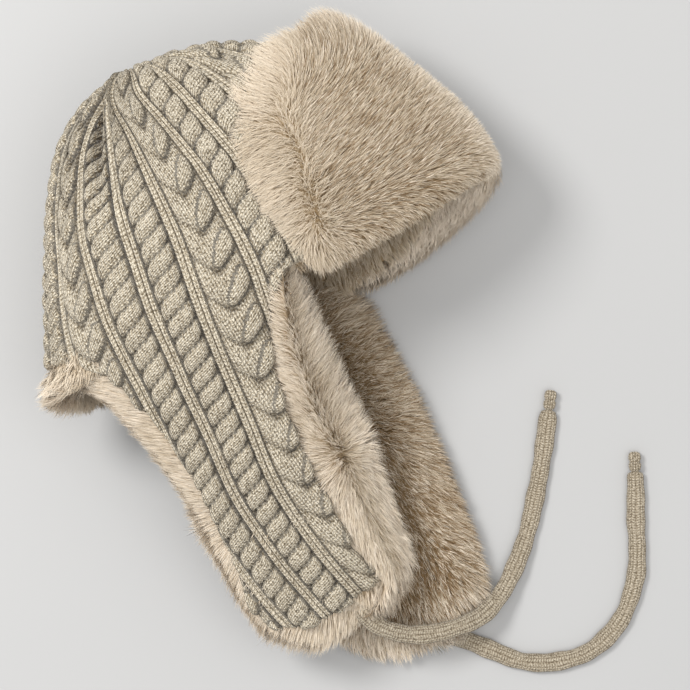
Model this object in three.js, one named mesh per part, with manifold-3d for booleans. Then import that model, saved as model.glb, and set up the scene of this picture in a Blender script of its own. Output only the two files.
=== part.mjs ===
// A trapper hat lying on its left side: a cable-knit crown with two ear flaps, a plush lining,
// a plush brim folded up round the front, and two flat knitted ties.
// Millimetres. +X is the front of the hat, +Y the top of its crown, +Z its right side, which faces up.
// The origin is on the table, under the middle of the crown.
import * as THREE from 'three';
import { mergeVertices } from 'three/addons/utils/BufferGeometryUtils.js';
import Module from 'manifold-3d';

const wasm = await Module();
wasm.setup();

// The crown leans: what lies deeper is further forward and lower down the hat
const leanForward = 0.2;
const leanDown = 0.17;
const leanHeight = 60;
// The table point under the crown, in the frame of the tables below
const tablePoint = { x: -60, y: 70 };
const clearance = 0.4;
const furGap = 0.6;
const reach = 260;
const ceiling = 170;

// Flat sections of the knitted bag, from the top of the crown to below the flaps
const bagSections = [
  { y: 191, back: -46, front: -46, top: 78, base: 78 },
  { y: 188, back: -60, front: -10, top: 94, base: 57 },
  { y: 181, back: -79, front: 18, top: 103, base: 38 },
  { y: 168, back: -98, front: 40, top: 111, base: 20 },
  { y: 147, back: -116, front: 60, top: 117, base: 5 },
  { y: 116, back: -134, front: 75, top: 122, base: -2 },
  { y: 85, back: -149, front: 84, top: 122, base: -2 },
  { y: 53, back: -162, front: 88, top: 118, base: -2 },
  { y: 20, back: -168, front: 84, top: 108, base: -2 },
  { y: -20, back: -172, front: 78, top: 95, base: -2 },
  { y: -60, back: -176, front: 72, top: 81, base: -2 },
  { y: -100, back: -173, front: 75, top: 68, base: -2 },
  { y: -140, back: -165, front: 85, top: 57, base: -2 },
  { y: -190, back: -150, front: 103, top: 48, base: -2 },
];
const upperRoundness = 2.0;
const lowerRoundness = 3.0;
// The front of the crown is propped up on the brim folded under it
const propped = { height: 17, fromX: -30, toX: 45, fromY: 0, toY: 50 };
// The right flap is arched across its width
const arch = { drop: 8, middleX: -80, halfWidth: 40, most: 3.2, fromY: 40, toY: -50 };
// Where the knit tucks under itself behind the top of the crown
const tuck = { share: 0.152, width: 0.013, dip: 1.4, lip: 3, lipShare: 0.172, fromRow: 0.8, toRow: 5.2 };

// One repeat of the knit, width and height in mm; shares are where the ridge points stand across it
const knitColumns = [
  { kind: 'wide cable', width: 27.4, height: 4.6, shares: [0, 0.2, 0.5, 0.8], heights: [0, 1, 0.72, 1] },
  { kind: 'rib', width: 8, height: 2.2, shares: [0, 0.5], heights: [0, 1] },
  { kind: 'rope cable', width: 18.3, height: 4.2, shares: [0, 0.3, 0.7], heights: [0, 1, 1] },
  { kind: 'rib', width: 8, height: 2.2, shares: [0, 0.5], heights: [0, 1] },
  { kind: 'rope cable', width: 18.3, height: 4.2, shares: [0, 0.3, 0.7], heights: [0, 1, 1] },
  { kind: 'rib', width: 8, height: 2.2, shares: [0, 0.5], heights: [0, 1] },
];
const knitRepeats = 7;
const firstCableShare = 0.106;
// Offsets from the bag's smooth surface, and the lowest point of each hollow
const knitGround = -3;
const knitInside = { offset: -5.6, lowest: 2.6 };
const knitSpace = { offset: 3.4, lowest: 3 };
const lining = { offset: -6, thickness: 8, lowest: 3, lip: 14 };
// The relief is flatter where the knit gathers at the top
const gather = { least: 0.35, untilRow: 2.5 };
const knitRows = [0.45, 1, 1.7, 2.5, 3.4, 4.3, 5.2, 6.1, 7, 8, 9, 10, 11, 12, 13];
const plainRows = [0.5, 1.3, 2.3, 3.5, 5, 7, 8.6, 10.2, 11.8, 13];
const spaceRows = [0.5, 1.2, 2, 2.8, 3.6, 4.4, 5.2, 6.1, 7, 8, 9, 10, 11, 12, 13];
const plainSides = 36;

// Right flap, seen from above: edges of the fur and of the knit on it, by rows; no knit below its hem
const rightFlap = [
  { y: 55, furRear: -150, knitRear: -150, knitFront: -12, furFront: 0 },
  { y: 40, furRear: -148, knitRear: -129, knitFront: -23, furFront: -1 },
  { y: 22, furRear: -137, knitRear: -123, knitFront: -33, furFront: -2 },
  { y: -10, furRear: -128, knitRear: -116, knitFront: -43, furFront: -3 },
  { y: -45, furRear: -122, knitRear: -113, knitFront: -46, furFront: -3 },
  { y: -80, furRear: -122, knitRear: -114, knitFront: -45, furFront: -4 },
  { y: -110, furRear: -121, knitRear: -116, knitFront: -44, furFront: -6 },
  { y: -124, furRear: -118, knitRear: -114, knitFront: -40, furFront: -8 },
  { y: -133, furRear: -114, knitRear: -108, knitFront: -37, furFront: -12 },
  { y: -147, furRear: -101, knitRear: null, knitFront: -48, furFront: -26 },
  { y: -154, furRear: -86, knitRear: null, knitFront: -64, furFront: -48 },
];
const rightHemMiddle = { x: -84, y: -141.5 };
// Left flap, flat on the table with its fur up
const leftFlap = [
  { y: 40, furRear: -140, knitRear: -136, knitFront: -12, furFront: 6 },
  { y: 18, furRear: -122, knitRear: -112, knitFront: -16, furFront: 18 },
  { y: -5, furRear: -108, knitRear: -99, knitFront: -14, furFront: 25 },
  { y: -35, furRear: -96, knitRear: -88, knitFront: -13, furFront: 27 },
  { y: -75, furRear: -90, knitRear: -82, knitFront: -12, furFront: 28 },
  { y: -115, furRear: -88, knitRear: -81, knitFront: -12, furFront: 27 },
  { y: -148, furRear: -86, knitRear: -80, knitFront: -11, furFront: 24 },
  { y: -166, furRear: -79, knitRear: -70, knitFront: -14, furFront: 18 },
  { y: -177, furRear: -68, knitRear: null, knitFront: -20, furFront: 4 },
  { y: -184, furRear: -55, knitRear: null, knitFront: -36, furFront: -24 },
];
const leftHemMiddle = { x: -44, y: -172 };
const flapSplitHeight = 25;
const flapGap = 1.5;
const rightRimY = 52;
const leftRimY = 38;
const backHem = { x: -151, y: 58 };
// Where the right flap's fur ends beside the brim's end
const rightCorner = { x: 3, fromY: 20, toY: 56, fromZ: 60 };

// The fur of a flap by width: 0 at its rear edge, 1 at the knit's front edge, 2 at its front edge;
// the top and bottom are heights over the knit's smooth surface on the right, over the table on the left
const rightFurProfile = [
  { share: 0, top: -7, bottom: -11 },
  { share: 0.1, top: -1, bottom: -16 },
  { share: 0.5, top: -1, bottom: -19 },
  { share: 0.98, top: -1, bottom: -19 },
  { share: 1.15, top: 5, bottom: -19 },
  { share: 1.45, top: 7, bottom: -18 },
  { share: 1.8, top: 2, bottom: -15 },
  { share: 2, top: -7, bottom: -11 },
];
const leftFurProfile = [
  { share: 0, top: 11, bottom: 5 },
  { share: 0.12, top: 18, bottom: 1 },
  { share: 0.55, top: 21, bottom: 1 },
  { share: 1, top: 22, bottom: 1 },
  { share: 1.5, top: 22, bottom: 1 },
  { share: 1.8, top: 18, bottom: 2 },
  { share: 2, top: 11, bottom: 5 },
];

const flapEndThinness = 0.45;

// The brim's outer face by height: half ellipses from the right end round the front to the left end
const brimLevels = [
  { height: 0, end: 9, front: 119, top: 113, base: 7 },
  { height: 0.15, end: 6, front: 126, top: 122, base: 0 },
  { height: 0.45, end: 0, front: 118, top: 130, base: 0 },
  { height: 0.75, end: 2, front: 97, top: 125, base: 3 },
  { height: 1, end: 9, front: 75, top: 113, base: 15 },
];
const brimEdge = { endBottom: 24, frontBottom: 40, endTop: 143, frontTop: 172 };
const brimThickness = 24;
// A cut through the brim: share of its height and of its thickness, from the outside in
const brimLoop = [
  { height: 0, depth: 0.5 },
  { height: 0.03, depth: 0.14 },
  { height: 0.13, depth: 0 },
  { height: 0.45, depth: 0 },
  { height: 0.8, depth: 0 },
  { height: 0.95, depth: 0.12 },
  { height: 1, depth: 0.45 },
  { height: 0.93, depth: 0.9 },
  { height: 0.5, depth: 1 },
  { height: 0.1, depth: 0.92 },
];
const brimStations = 16;

// Locks of fur: how many, and the size of each pointed wedge
const brimLocks = { around: 10, up: 3, length: 34, width: 24, thickness: 13, sink: 9, rise: 0.2 };
const rightFlapLocks = {
  along: 8, across: 2, length: 27, width: 19, thickness: 11, sink: 7, rise: 0.22,
  parting: 1.4, toRear: -0.5, toFront: 0.8,
};
const leftFlapLocks = {
  along: 7, across: 3, length: 30, width: 22, thickness: 11, sink: 7, rise: 0.2,
  parting: 1, toRear: -0.3, toFront: 0.7,
};
const edgeLocks = { spacing: 25, length: 12, width: 22, thickness: 11, sink: 9 };
const lockSides = 4;
// How far below the top of a flap's fur the face locks root, and where they stand across it
const faceLocks = { depth: 4, rightFrom: 1.1, leftFrom: 0.2, to: 1.95, jitter: 0.25, sway: 0.2 };
// The edge locks of a flap: depth of their roots, and how far they point down the hat
const flapEdge = { inset: 3, middle: 9, sag: 0.3, sway: 0.15 };
// The edge locks of the brim: at its rims and its two ends, by shares of its height and length
const brimRim = { inset: 0.04, depth: 9, flare: 0.3, perLock: 1.2 };
const brimEnd = { inset: 0.02, count: 5, sway: 0.25, combedBack: 0.1, thinness: 0.55, shorter: 0.94 };

// Flat knitted ties, route points by hand
const tieSection = { width: 11, thickness: 4, sides: 8, roundness: 3, stepLength: 16 };
const rightTieRoute = [
  [-58, -141.5, 45], [-56, -149, 43], [-50, -161, 38], [-36, -173, 31], [-16, -180, 25.5],
  [5, -182, 16.5], [22, -176, 9], [38, -164, 5], [52, -150, 3], [63, -136, 2.6], [74, -121, 2.6],
  [84, -106, 2.6], [91, -95, 2.6], [96, -87, 2.6],
];
const leftTieRoute = [
  [-39, -178, 2.6], [-29, -182, 2.6], [-13, -190, 2.6], [2, -205, 2.6], [16, -219, 2.6], [34, -228, 2.6],
  [57, -231, 2.6], [81, -222, 2.6], [99, -204, 2.6], [108, -188, 2.6], [115, -171, 2.6], [122, -156, 2.6],
  [127.5, -143, 2.6],
];
const tieChannel = { spare: 1.4, lifts: [0, 4, 8, 12] };
const tieTip = { length: 12, width: 7.5, thickness: 5, sides: 8, rings: 6, offTable: 0.2 };

const colours = { knit: 0xb9ac97, fur: 0xcdb99b, innerFur: 0xb59c7a, tie: 0xb3a48e };

const lerp = THREE.MathUtils.lerp;
const clamp = THREE.MathUtils.clamp;
const smoothstep = THREE.MathUtils.smoothstep;
const upright = new THREE.Vector3(0, 0, 1);

function material(colour) {
  return new THREE.MeshStandardMaterial({ color: colour, roughness: 0.95, metalness: 0 });
}

function geometryFrom(positions, triangles) {
  const geometry = new THREE.BufferGeometry();
  geometry.setAttribute('position', new THREE.Float32BufferAttribute(positions, 3));
  geometry.setIndex(triangles);
  return geometry;
}

function solidFrom(geometry) {
  const bare = geometry.clone();
  bare.deleteAttribute('normal');
  bare.deleteAttribute('uv');
  const merged = mergeVertices(bare, 1e-4);
  return new wasm.Manifold(new wasm.Mesh({
    numProp: 3,
    vertProperties: new Float32Array(merged.attributes.position.array),
    triVerts: new Uint32Array(merged.index.array),
  }));
}

function meshFrom(solid, name, colour) {
  const result = solid.getMesh();
  const geometry = geometryFrom(Array.from(result.vertProperties), Array.from(result.triVerts));
  geometry.translate(-tablePoint.x, -tablePoint.y, 0);
  const mesh = new THREE.Mesh(geometry, material(colour));
  mesh.name = name;
  return mesh;
}

// Smooth value of a named column between the rows of a table
function alongRows(table, column, row) {
  const at = clamp(row, 0, table.length - 1);
  const first = Math.min(Math.floor(at), table.length - 2);
  const t = at - first;
  const value = (step) => table[clamp(first + step, 0, table.length - 1)][column];
  const [a, b, c, d] = [value(-1), value(0), value(1), value(2)];
  const slope = c - a;
  const bend = 2 * a - 5 * b + 4 * c - d;
  const twist = 3 * b - a - 3 * c + d;
  return 0.5 * (2 * b + slope * t + bend * t * t + twist * t ** 3);
}

// Straight value of a named column where another column has the given value
function between(table, key, column, at) {
  const rising = table[table.length - 1][key] > table[0][key];
  const rows = rising ? table : [...table].reverse();
  for (let i = 1; i < rows.length; i += 1) {
    if (at <= rows[i][key] || i === rows.length - 1) {
      const t = clamp((at - rows[i - 1][key]) / (rows[i][key] - rows[i - 1][key]), 0, 1);
      return lerp(rows[i - 1][column], rows[i][column], t);
    }
  }
  return rows[0][column];
}

function roundPower(value, roundness) {
  return Math.sign(value) * Math.abs(value) ** (2 / roundness);
}

function lift(x, y, z, base, top) {
  const forward = smoothstep(x, propped.fromX, propped.toX);
  const up = smoothstep(y, propped.fromY, propped.toY);
  const low = clamp((top - z) / Math.max(top - base, 1), 0, 1);
  return propped.height * forward * up * low * low;
}

function archDrop(x, y, height) {
  const down = smoothstep(-y, -arch.fromY, -arch.toY);
  const across = Math.min(((x - arch.middleX) / arch.halfWidth) ** 2, arch.most);
  return arch.drop * down * across * smoothstep(height, 0.5, 0.8);
}

const ringSteps = 240;
const ringColumns = ['y', 'back', 'front', 'top', 'base'];
const ringCache = new Map();

// Points round one section of the bag with their distance along it, from the back over the right side
function ringAt(row) {
  const key = row.toFixed(4);
  if (ringCache.has(key)) return ringCache.get(key);
  const [y, back, front, top, base] = ringColumns.map((column) => alongRows(bagSections, column, row));
  const ring = [];
  let length = 0;
  for (let i = 0; i <= ringSteps; i += 1) {
    const angle = (i / ringSteps) * 2 * Math.PI;
    const roundness = Math.sin(angle) > 0 ? upperRoundness : lowerRoundness;
    const x = (back + front) / 2 - ((front - back) / 2) * roundPower(Math.cos(angle), roundness);
    const z = (top + base) / 2 + ((top - base) / 2) * roundPower(Math.sin(angle), roundness);
    const last = ring[ring.length - 1];
    if (last) length += Math.hypot(x - last.x, z - last.z);
    ring.push({ x, z, length });
  }
  const result = { y, top, base, ring, length };
  ringCache.set(key, result);
  return result;
}

function leaned(x, y, z) {
  return new THREE.Vector3(x + leanForward * (leanHeight - z), y - leanDown * (leanHeight - z), z);
}

function smoothPoint(share, row) {
  const { y, top, base, ring, length } = ringAt(row);
  const distance = (share - Math.floor(share)) * length;
  let i = 1;
  while (i < ring.length - 1 && ring[i].length < distance) i += 1;
  const step = ring[i].length - ring[i - 1].length;
  const t = step > 0 ? clamp((distance - ring[i - 1].length) / step, 0, 1) : 0;
  const x = lerp(ring[i - 1].x, ring[i].x, t);
  let z = lerp(ring[i - 1].z, ring[i].z, t);
  z += lift(x, y, z, base, top);
  z -= archDrop(x, y, (z - base) / Math.max(top - base, 1));
  return leaned(x, y, z);
}

// A point of the bag, moved out along its normal
function bagPoint(share, row, offset) {
  const step = { share: 0.004, row: 0.05 };
  const at = Math.max(row, step.row);
  const ahead = smoothPoint(share + step.share, at);
  const behind = smoothPoint(share - step.share, at);
  const above = smoothPoint(share, at - step.row);
  const below = smoothPoint(share, at + step.row);
  const normal = ahead.sub(behind).cross(above.sub(below)).normalize();
  return smoothPoint(share, row).addScaledVector(normal, offset);
}

// A closed bag: rings of points from the top of the crown down, with a flat end
function bagSolid(shares, rows, offsetAt, lowest) {
  const positions = [];
  const triangles = [];
  const add = (point) => {
    positions.push(point.x, point.y, Math.max(point.z, lowest));
    return positions.length / 3 - 1;
  };
  const pole = smoothPoint(0, 0);
  pole.y += offsetAt(0, 0);
  const top = add(pole);
  const rings = rows.map((row) => shares.map((share) => add(bagPoint(share, row, offsetAt(share, row)))));
  const middle = new THREE.Vector3();
  shares.forEach((share) => middle.add(smoothPoint(share, rows[rows.length - 1])));
  const end = add(middle.divideScalar(shares.length));
  shares.forEach((share, i) => {
    const next = (i + 1) % shares.length;
    triangles.push(top, rings[0][i], rings[0][next]);
    for (let r = 1; r < rings.length; r += 1) {
      const [upper, lower] = [rings[r - 1], rings[r]];
      triangles.push(upper[i], lower[next], upper[next], upper[i], lower[i], lower[next]);
    }
    const last = rings[rings.length - 1];
    triangles.push(end, last[next], last[i]);
  });
  return solidFrom(geometryFrom(positions, triangles));
}

function knitRidges() {
  const repeatWidth = knitColumns.reduce((sum, column) => sum + column.width, 0);
  const ridges = [];
  for (let repeat = 0; repeat < knitRepeats; repeat += 1) {
    let across = -knitColumns[0].width / 2;
    knitColumns.forEach((column) => {
      column.shares.forEach((share, i) => {
        const inRepeat = (across + share * column.width) / repeatWidth;
        ridges.push({
          share: firstCableShare + (repeat + inRepeat) / knitRepeats,
          height: column.heights[i] * column.height,
        });
      });
      across += column.width;
    });
  }
  return ridges;
}

function tuckRise(share, row) {
  const at = share - Math.floor(share);
  const down = Math.sin(Math.PI * clamp((row - tuck.fromRow) / (tuck.toRow - tuck.fromRow), 0, 1));
  const bump = (centre) => Math.exp(-(((at - centre) / tuck.width) ** 2));
  return down * (tuck.lip * bump(tuck.lipShare) - tuck.dip * bump(tuck.share));
}

function plainBag(offset, lowest, rows = plainRows) {
  const shares = Array.from({ length: plainSides }, (_, i) => i / plainSides);
  return bagSolid(shares, rows, () => offset, lowest);
}

function prism(outline, fromZ, toZ) {
  const shape = new THREE.Shape(outline.map((p) => new THREE.Vector2(p.x, p.y)));
  const geometry = new THREE.ExtrudeGeometry(shape, { depth: toZ - fromZ, bevelEnabled: false });
  return solidFrom(geometry.translate(0, 0, fromZ));
}

// Outline of the crown and one flap's knit, seen from above, grown by a margin
function knitOutline(flap, hemMiddle, rimY, margin) {
  const rows = flap.filter((row) => row.knitRear !== null);
  const rear = rows.map((row) => new THREE.Vector2(row.knitRear - margin, row.y));
  const front = rows.map((row) => new THREE.Vector2(row.knitFront + margin, row.y)).reverse();
  rear[rear.length - 1].y -= margin;
  front[0].y -= margin;
  const hem = new THREE.Vector2(hemMiddle.x, hemMiddle.y - margin);
  const edge = new THREE.SplineCurve([...rear.slice(1), hem, ...front.slice(0, -1)]).getPoints(30);
  return [
    new THREE.Vector2(-reach, backHem.y - margin),
    new THREE.Vector2(backHem.x, backHem.y - margin),
    ...edge,
    new THREE.Vector2(front[front.length - 1].x, rimY - margin),
    new THREE.Vector2(reach, rimY - margin),
    new THREE.Vector2(reach, reach),
    new THREE.Vector2(-reach, reach),
  ];
}

function knitCutter(margin) {
  const right = prism(knitOutline(rightFlap, rightHemMiddle, rightRimY, margin), flapSplitHeight, ceiling);
  const left = prism(knitOutline(leftFlap, leftHemMiddle, leftRimY, margin), -1, flapSplitHeight);
  return right.add(left);
}

function knitShell() {
  const ridges = knitRidges();
  const heights = new Map(ridges.map((ridge) => [ridge.share, ridge.height]));
  const relief = (share, row) => {
    const full = lerp(gather.least, 1, smoothstep(row, 0, gather.untilRow));
    return knitGround + (heights.get(share) || 0) * full + tuckRise(share, row);
  };
  const outer = bagSolid(ridges.map((ridge) => ridge.share), knitRows, relief, 0);
  const inner = plainBag(knitInside.offset, knitInside.lowest);
  return biggest(outer.subtract(inner).intersect(knitCutter(0)));
}

// What the knit fills with its clearance, for the fur that meets it
function knitRoom() {
  const outer = plainBag(knitSpace.offset, -1, spaceRows);
  const inner = plainBag(lining.offset, knitSpace.lowest);
  return outer.subtract(inner).intersect(knitCutter(furGap));
}

// The height of the knit's smooth surface on the right side, over a point of the table
function rightHeight(x, y) {
  const passes = 6;
  const widest = 0.98;
  let z = leanHeight;
  for (let i = 0; i < passes; i += 1) {
    const flatX = x - leanForward * (leanHeight - z);
    const flatY = y + leanDown * (leanHeight - z);
    const level = (column) => between(bagSections, 'y', column, flatY);
    const [back, front, top, base] = ['back', 'front', 'top', 'base'].map(level);
    const across = clamp(Math.abs((2 * flatX - back - front) / (front - back)), 0, widest);
    const rise = (1 - across ** upperRoundness) ** (1 / upperRoundness);
    z = (top + base) / 2 + ((top - base) / 2) * rise - archDrop(flatX, flatY, (1 + rise) / 2);
  }
  return z;
}

// A closed slab from rows of loops of points
function loftSolid(loops) {
  const positions = [];
  const triangles = [];
  const count = loops[0].length;
  loops.forEach((loop) => loop.forEach((p) => positions.push(p.x, p.y, p.z)));
  const centre = (loop) => {
    const middle = loop.reduce((sum, p) => sum.add(p), new THREE.Vector3()).divideScalar(count);
    positions.push(middle.x, middle.y, middle.z);
    return positions.length / 3 - 1;
  };
  const start = centre(loops[0]);
  const end = centre(loops[loops.length - 1]);
  const last = (loops.length - 1) * count;
  for (let i = 0; i < count; i += 1) {
    const next = (i + 1) % count;
    triangles.push(start, next, i, end, last + i, last + next);
    for (let r = 0; r < loops.length - 1; r += 1) {
      const [a, b] = [r * count + i, r * count + next];
      triangles.push(a, b, b + count, a, b + count, a + count);
    }
  }
  const geometry = geometryFrom(positions, triangles);
  const solid = solidFrom(geometry);
  if (solid.volume() > 0) return solid;
  for (let i = 0; i < triangles.length; i += 3) {
    [triangles[i], triangles[i + 1]] = [triangles[i + 1], triangles[i]];
  }
  return solidFrom(geometryFrom(positions, triangles));
}

// Repeatable spread from -1 to 1
function spread(seed) {
  const wave = Math.sin(seed * 127.1 + 311.7) * 43758.5453;
  return 2 * (wave - Math.floor(wave)) - 1;
}

// A lock of fur: a pointed wedge rooted in its backing, lying along a direction
function lock(root, direction, normal, size) {
  const geometry = new THREE.ConeGeometry(Math.SQRT1_2, size.length + size.sink, lockSides, 1);
  geometry.rotateY(Math.PI / 4);
  geometry.scale(size.width, 1, size.thickness);
  geometry.translate(0, (size.length + size.sink) / 2 - size.sink, 0);
  const along = direction.clone().normalize();
  const side = along.clone().cross(normal).normalize();
  const frame = new THREE.Matrix4().makeBasis(side, along, side.clone().cross(along));
  geometry.applyMatrix4(frame.setPosition(root));
  return solidFrom(geometry);
}

function withLocks(backing, locks) {
  return wasm.Manifold.union([backing, ...locks]);
}

function biggest(solid) {
  return solid.decompose().sort((a, b) => b.volume() - a.volume())[0];
}

function flapX(row, share) {
  return share < 1 ? lerp(row.furRear, row.knitFront, share) : lerp(row.knitFront, row.furFront, share - 1);
}

function flapFurLoops(flap, profile, heightAt) {
  return flap.map((row, r) => {
    const thin = r === flap.length - 1 ? flapEndThinness : 1;
    const upper = [];
    const lower = [];
    profile.forEach((point) => {
      const x = flapX(row, point.share);
      const ground = heightAt(x, row.y);
      const middle = (point.top + point.bottom) / 2;
      upper.push(new THREE.Vector3(x, row.y, ground + lerp(middle, point.top, thin)));
      lower.push(new THREE.Vector3(x, row.y, ground + lerp(middle, point.bottom, thin)));
    });
    return [...upper, ...lower.reverse()];
  });
}

// Locks round the free edge of a flap, pointing out from its middle
function flapEdgeLocks(flap, midHeightAt) {
  const rear = flap.slice(1).map((row) => new THREE.Vector2(row.furRear, row.y));
  const front = flap.slice(1).map((row) => new THREE.Vector2(row.furFront, row.y)).reverse();
  const edge = new THREE.SplineCurve([...rear, ...front]);
  const count = Math.round(edge.getLength() / edgeLocks.spacing);
  return Array.from({ length: count + 1 }, (_, i) => {
    const at = edge.getPointAt(i / count);
    const along = edge.getTangentAt(i / count);
    const out = new THREE.Vector3(along.y, -along.x, 0);
    const root = new THREE.Vector3(at.x, at.y, midHeightAt(at.x, at.y));
    root.addScaledVector(out, -flapEdge.inset);
    const sway = new THREE.Vector3(spread(i), spread(i + 40), 0).multiplyScalar(flapEdge.sway);
    const direction = out.add(sway).setY(out.y - flapEdge.sag);
    return lock(root, direction, upright, edgeLocks);
  });
}

// Locks over the upper face of a flap's fur, combed down and outward
function flapFaceLocks(flap, size, from, heightAt, comb) {
  const first = flap[1].y;
  const last = flap[flap.length - 2].y;
  const locks = [];
  for (let i = 0; i < size.along; i += 1) {
    for (let j = 0; j < size.across; j += 1) {
      const seed = i * 13 + j * 7;
      const y = lerp(first, last, (i + 0.5 + faceLocks.jitter * spread(seed)) / size.along);
      const share = lerp(from, faceLocks.to, (j + 0.5 + faceLocks.jitter * spread(seed + 3)) / size.across);
      const level = (column) => between(flap, 'y', column, y);
      const [furRear, knitFront, furFront] = ['furRear', 'knitFront', 'furFront'].map(level);
      const x = flapX({ furRear, knitFront, furFront }, share);
      const root = new THREE.Vector3(x, y, heightAt(x, y, share));
      locks.push(lock(root, comb(share, seed).setZ(size.rise), upright, size));
    }
  }
  return locks;
}

// Fur parts along a line down the flap: behind it, it lies to the rear, before it, to the front
function combed(size) {
  return (share, seed) => {
    const x = share < size.parting ? size.toRear : size.toFront;
    return new THREE.Vector3(x, -1 + faceLocks.sway * spread(seed), 0);
  };
}

function rightFlapFur(room) {
  const slab = loftSolid(flapFurLoops(rightFlap, rightFurProfile, rightHeight));
  const furTop = (share) => between(rightFurProfile, 'share', 'top', share) - faceLocks.depth;
  const top = (x, y, share) => rightHeight(x, y) + furTop(share);
  const comb = combed(rightFlapLocks);
  const face = flapFaceLocks(rightFlap, rightFlapLocks, faceLocks.rightFrom, top, comb);
  const edge = flapEdgeLocks(rightFlap, (x, y) => rightHeight(x, y) - flapEdge.middle);
  const belowRim = boxOutline(-reach, reach, -reach, rightFlap[0].y - clearance);
  const above = prism(belowRim, flapSplitHeight + flapGap, ceiling);
  const groove = tieGroove(rightTieRoute, tieChannel.lifts);
  const beside = prism(boxOutline(rightCorner.x, reach, rightCorner.fromY, reach), 0, ceiling);
  const furry = withLocks(slab, [...face, ...edge]);
  return biggest(furry.subtract(room).subtract(groove).subtract(beside).intersect(above));
}

function leftFlapFur(room) {
  const onTable = () => 0;
  const slab = loftSolid(flapFurLoops(leftFlap, leftFurProfile, onTable));
  const top = (x, y, share) => between(leftFurProfile, 'share', 'top', share) - faceLocks.depth;
  const face = flapFaceLocks(leftFlap, leftFlapLocks, faceLocks.leftFrom, top, combed(leftFlapLocks));
  const edge = flapEdgeLocks(leftFlap, () => flapEdge.middle);
  const low = prism(boxOutline(-reach, reach, -reach, leftFlap[0].y), 1, flapSplitHeight);
  const grooves = tieGroove(leftTieRoute, [0]).add(tieGroove(rightTieRoute, tieChannel.lifts));
  return biggest(withLocks(slab, [...face, ...edge]).subtract(room).subtract(grooves).intersect(low));
}

function boxOutline(fromX, toX, fromY, toY) {
  const corners = [[fromX, fromY], [toX, fromY], [toX, toY], [fromX, toY]];
  return corners.map(([x, y]) => new THREE.Vector2(x, y));
}

function crownLining() {
  const outer = plainBag(lining.offset, lining.lowest);
  const inner = plainBag(lining.offset - lining.thickness, lining.lowest + lining.thickness);
  const hemY = rightFlap[0].y + clearance;
  const stepX = rightFlap[0].furRear - 1;
  const region = [
    new THREE.Vector2(-reach, hemY - lining.lip), new THREE.Vector2(stepX, hemY - lining.lip),
    new THREE.Vector2(stepX, hemY), new THREE.Vector2(reach, hemY),
    new THREE.Vector2(reach, reach), new THREE.Vector2(-reach, reach),
  ];
  return biggest(outer.subtract(inner).intersect(prism(region, -1, ceiling)));
}

function brimPoint(turn, height, depth) {
  const level = (column) => between(brimLevels, 'height', column, height);
  const angle = Math.PI * (0.5 - turn);
  const [top, base, end, front] = ['top', 'base', 'end', 'front'].map(level);
  const [halfHeight, reachOut] = [(top - base) / 2, front - end];
  const normal = new THREE.Vector3(Math.cos(angle) * halfHeight, 0, Math.sin(angle) * reachOut).normalize();
  const forward = Math.cos(angle) ** 2;
  const bottomY = lerp(brimEdge.endBottom, brimEdge.frontBottom, forward);
  const topY = lerp(brimEdge.endTop, brimEdge.frontTop, forward);
  const x = end + reachOut * Math.cos(angle) - normal.x * depth;
  const z = (top + base) / 2 + halfHeight * Math.sin(angle) - normal.z * depth;
  return leaned(x, lerp(bottomY, topY, height), z);
}

function brimOutward(turn, height) {
  return brimPoint(turn, height, 0).sub(brimPoint(turn, height, brimThickness)).normalize();
}

function brimBacking() {
  const loops = [];
  for (let i = 0; i <= brimStations; i += 1) {
    const atEnd = i === 0 || i === brimStations;
    const [thin, short] = atEnd ? [brimEnd.thinness, brimEnd.shorter] : [1, 1];
    loops.push(brimLoop.map((point) => {
      const depth = brimThickness * lerp(0.5, point.depth, thin);
      return brimPoint(i / brimStations, lerp(0.5, point.height, short), depth);
    }));
  }
  return loftSolid(loops);
}

// Locks over the brim's outer face, combed along it and up
function brimFaceLocks() {
  const locks = [];
  const { depth, jitter } = faceLocks;
  const step = 0.02;
  for (let i = 0; i < brimLocks.around; i += 1) {
    for (let j = 0; j < brimLocks.up; j += 1) {
      const seed = i * 17 + j * 5;
      const turn = (i + 0.5 + jitter * spread(seed)) / brimLocks.around;
      const up = (j + 0.5 + jitter * spread(seed + 2)) / brimLocks.up;
      const height = lerp(brimRim.inset, 1 - brimRim.inset, up);
      const root = brimPoint(turn, height, depth);
      const out = brimOutward(turn, height);
      const ahead = brimPoint(turn + step, height + step, depth).sub(root).normalize();
      const way = turn < brimEnd.combedBack ? -1 : 1;
      const direction = ahead.multiplyScalar(way).addScaledVector(out, brimLocks.rise);
      locks.push(lock(root, direction, out, brimLocks));
    }
  }
  return locks;
}

function brimRimLocks(height, up) {
  const count = Math.round(brimRim.perLock * brimLocks.around);
  return Array.from({ length: count }, (_, i) => {
    const turn = (i + 0.5) / count;
    const out = brimOutward(turn, height);
    const flare = brimRim.flare * (1 + spread(i));
    const direction = new THREE.Vector3(0, up, 0).addScaledVector(out, flare);
    return lock(brimPoint(turn, height, brimRim.depth), direction, out, edgeLocks);
  });
}

function brimEndLocks(turn) {
  return Array.from({ length: brimEnd.count }, (_, j) => {
    const height = (j + 0.5) / brimEnd.count;
    const direction = new THREE.Vector3(-1, brimEnd.sway * spread(j + 60), 0);
    return lock(brimPoint(turn, height, brimRim.depth), direction, brimOutward(turn, height), edgeLocks);
  });
}

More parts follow.
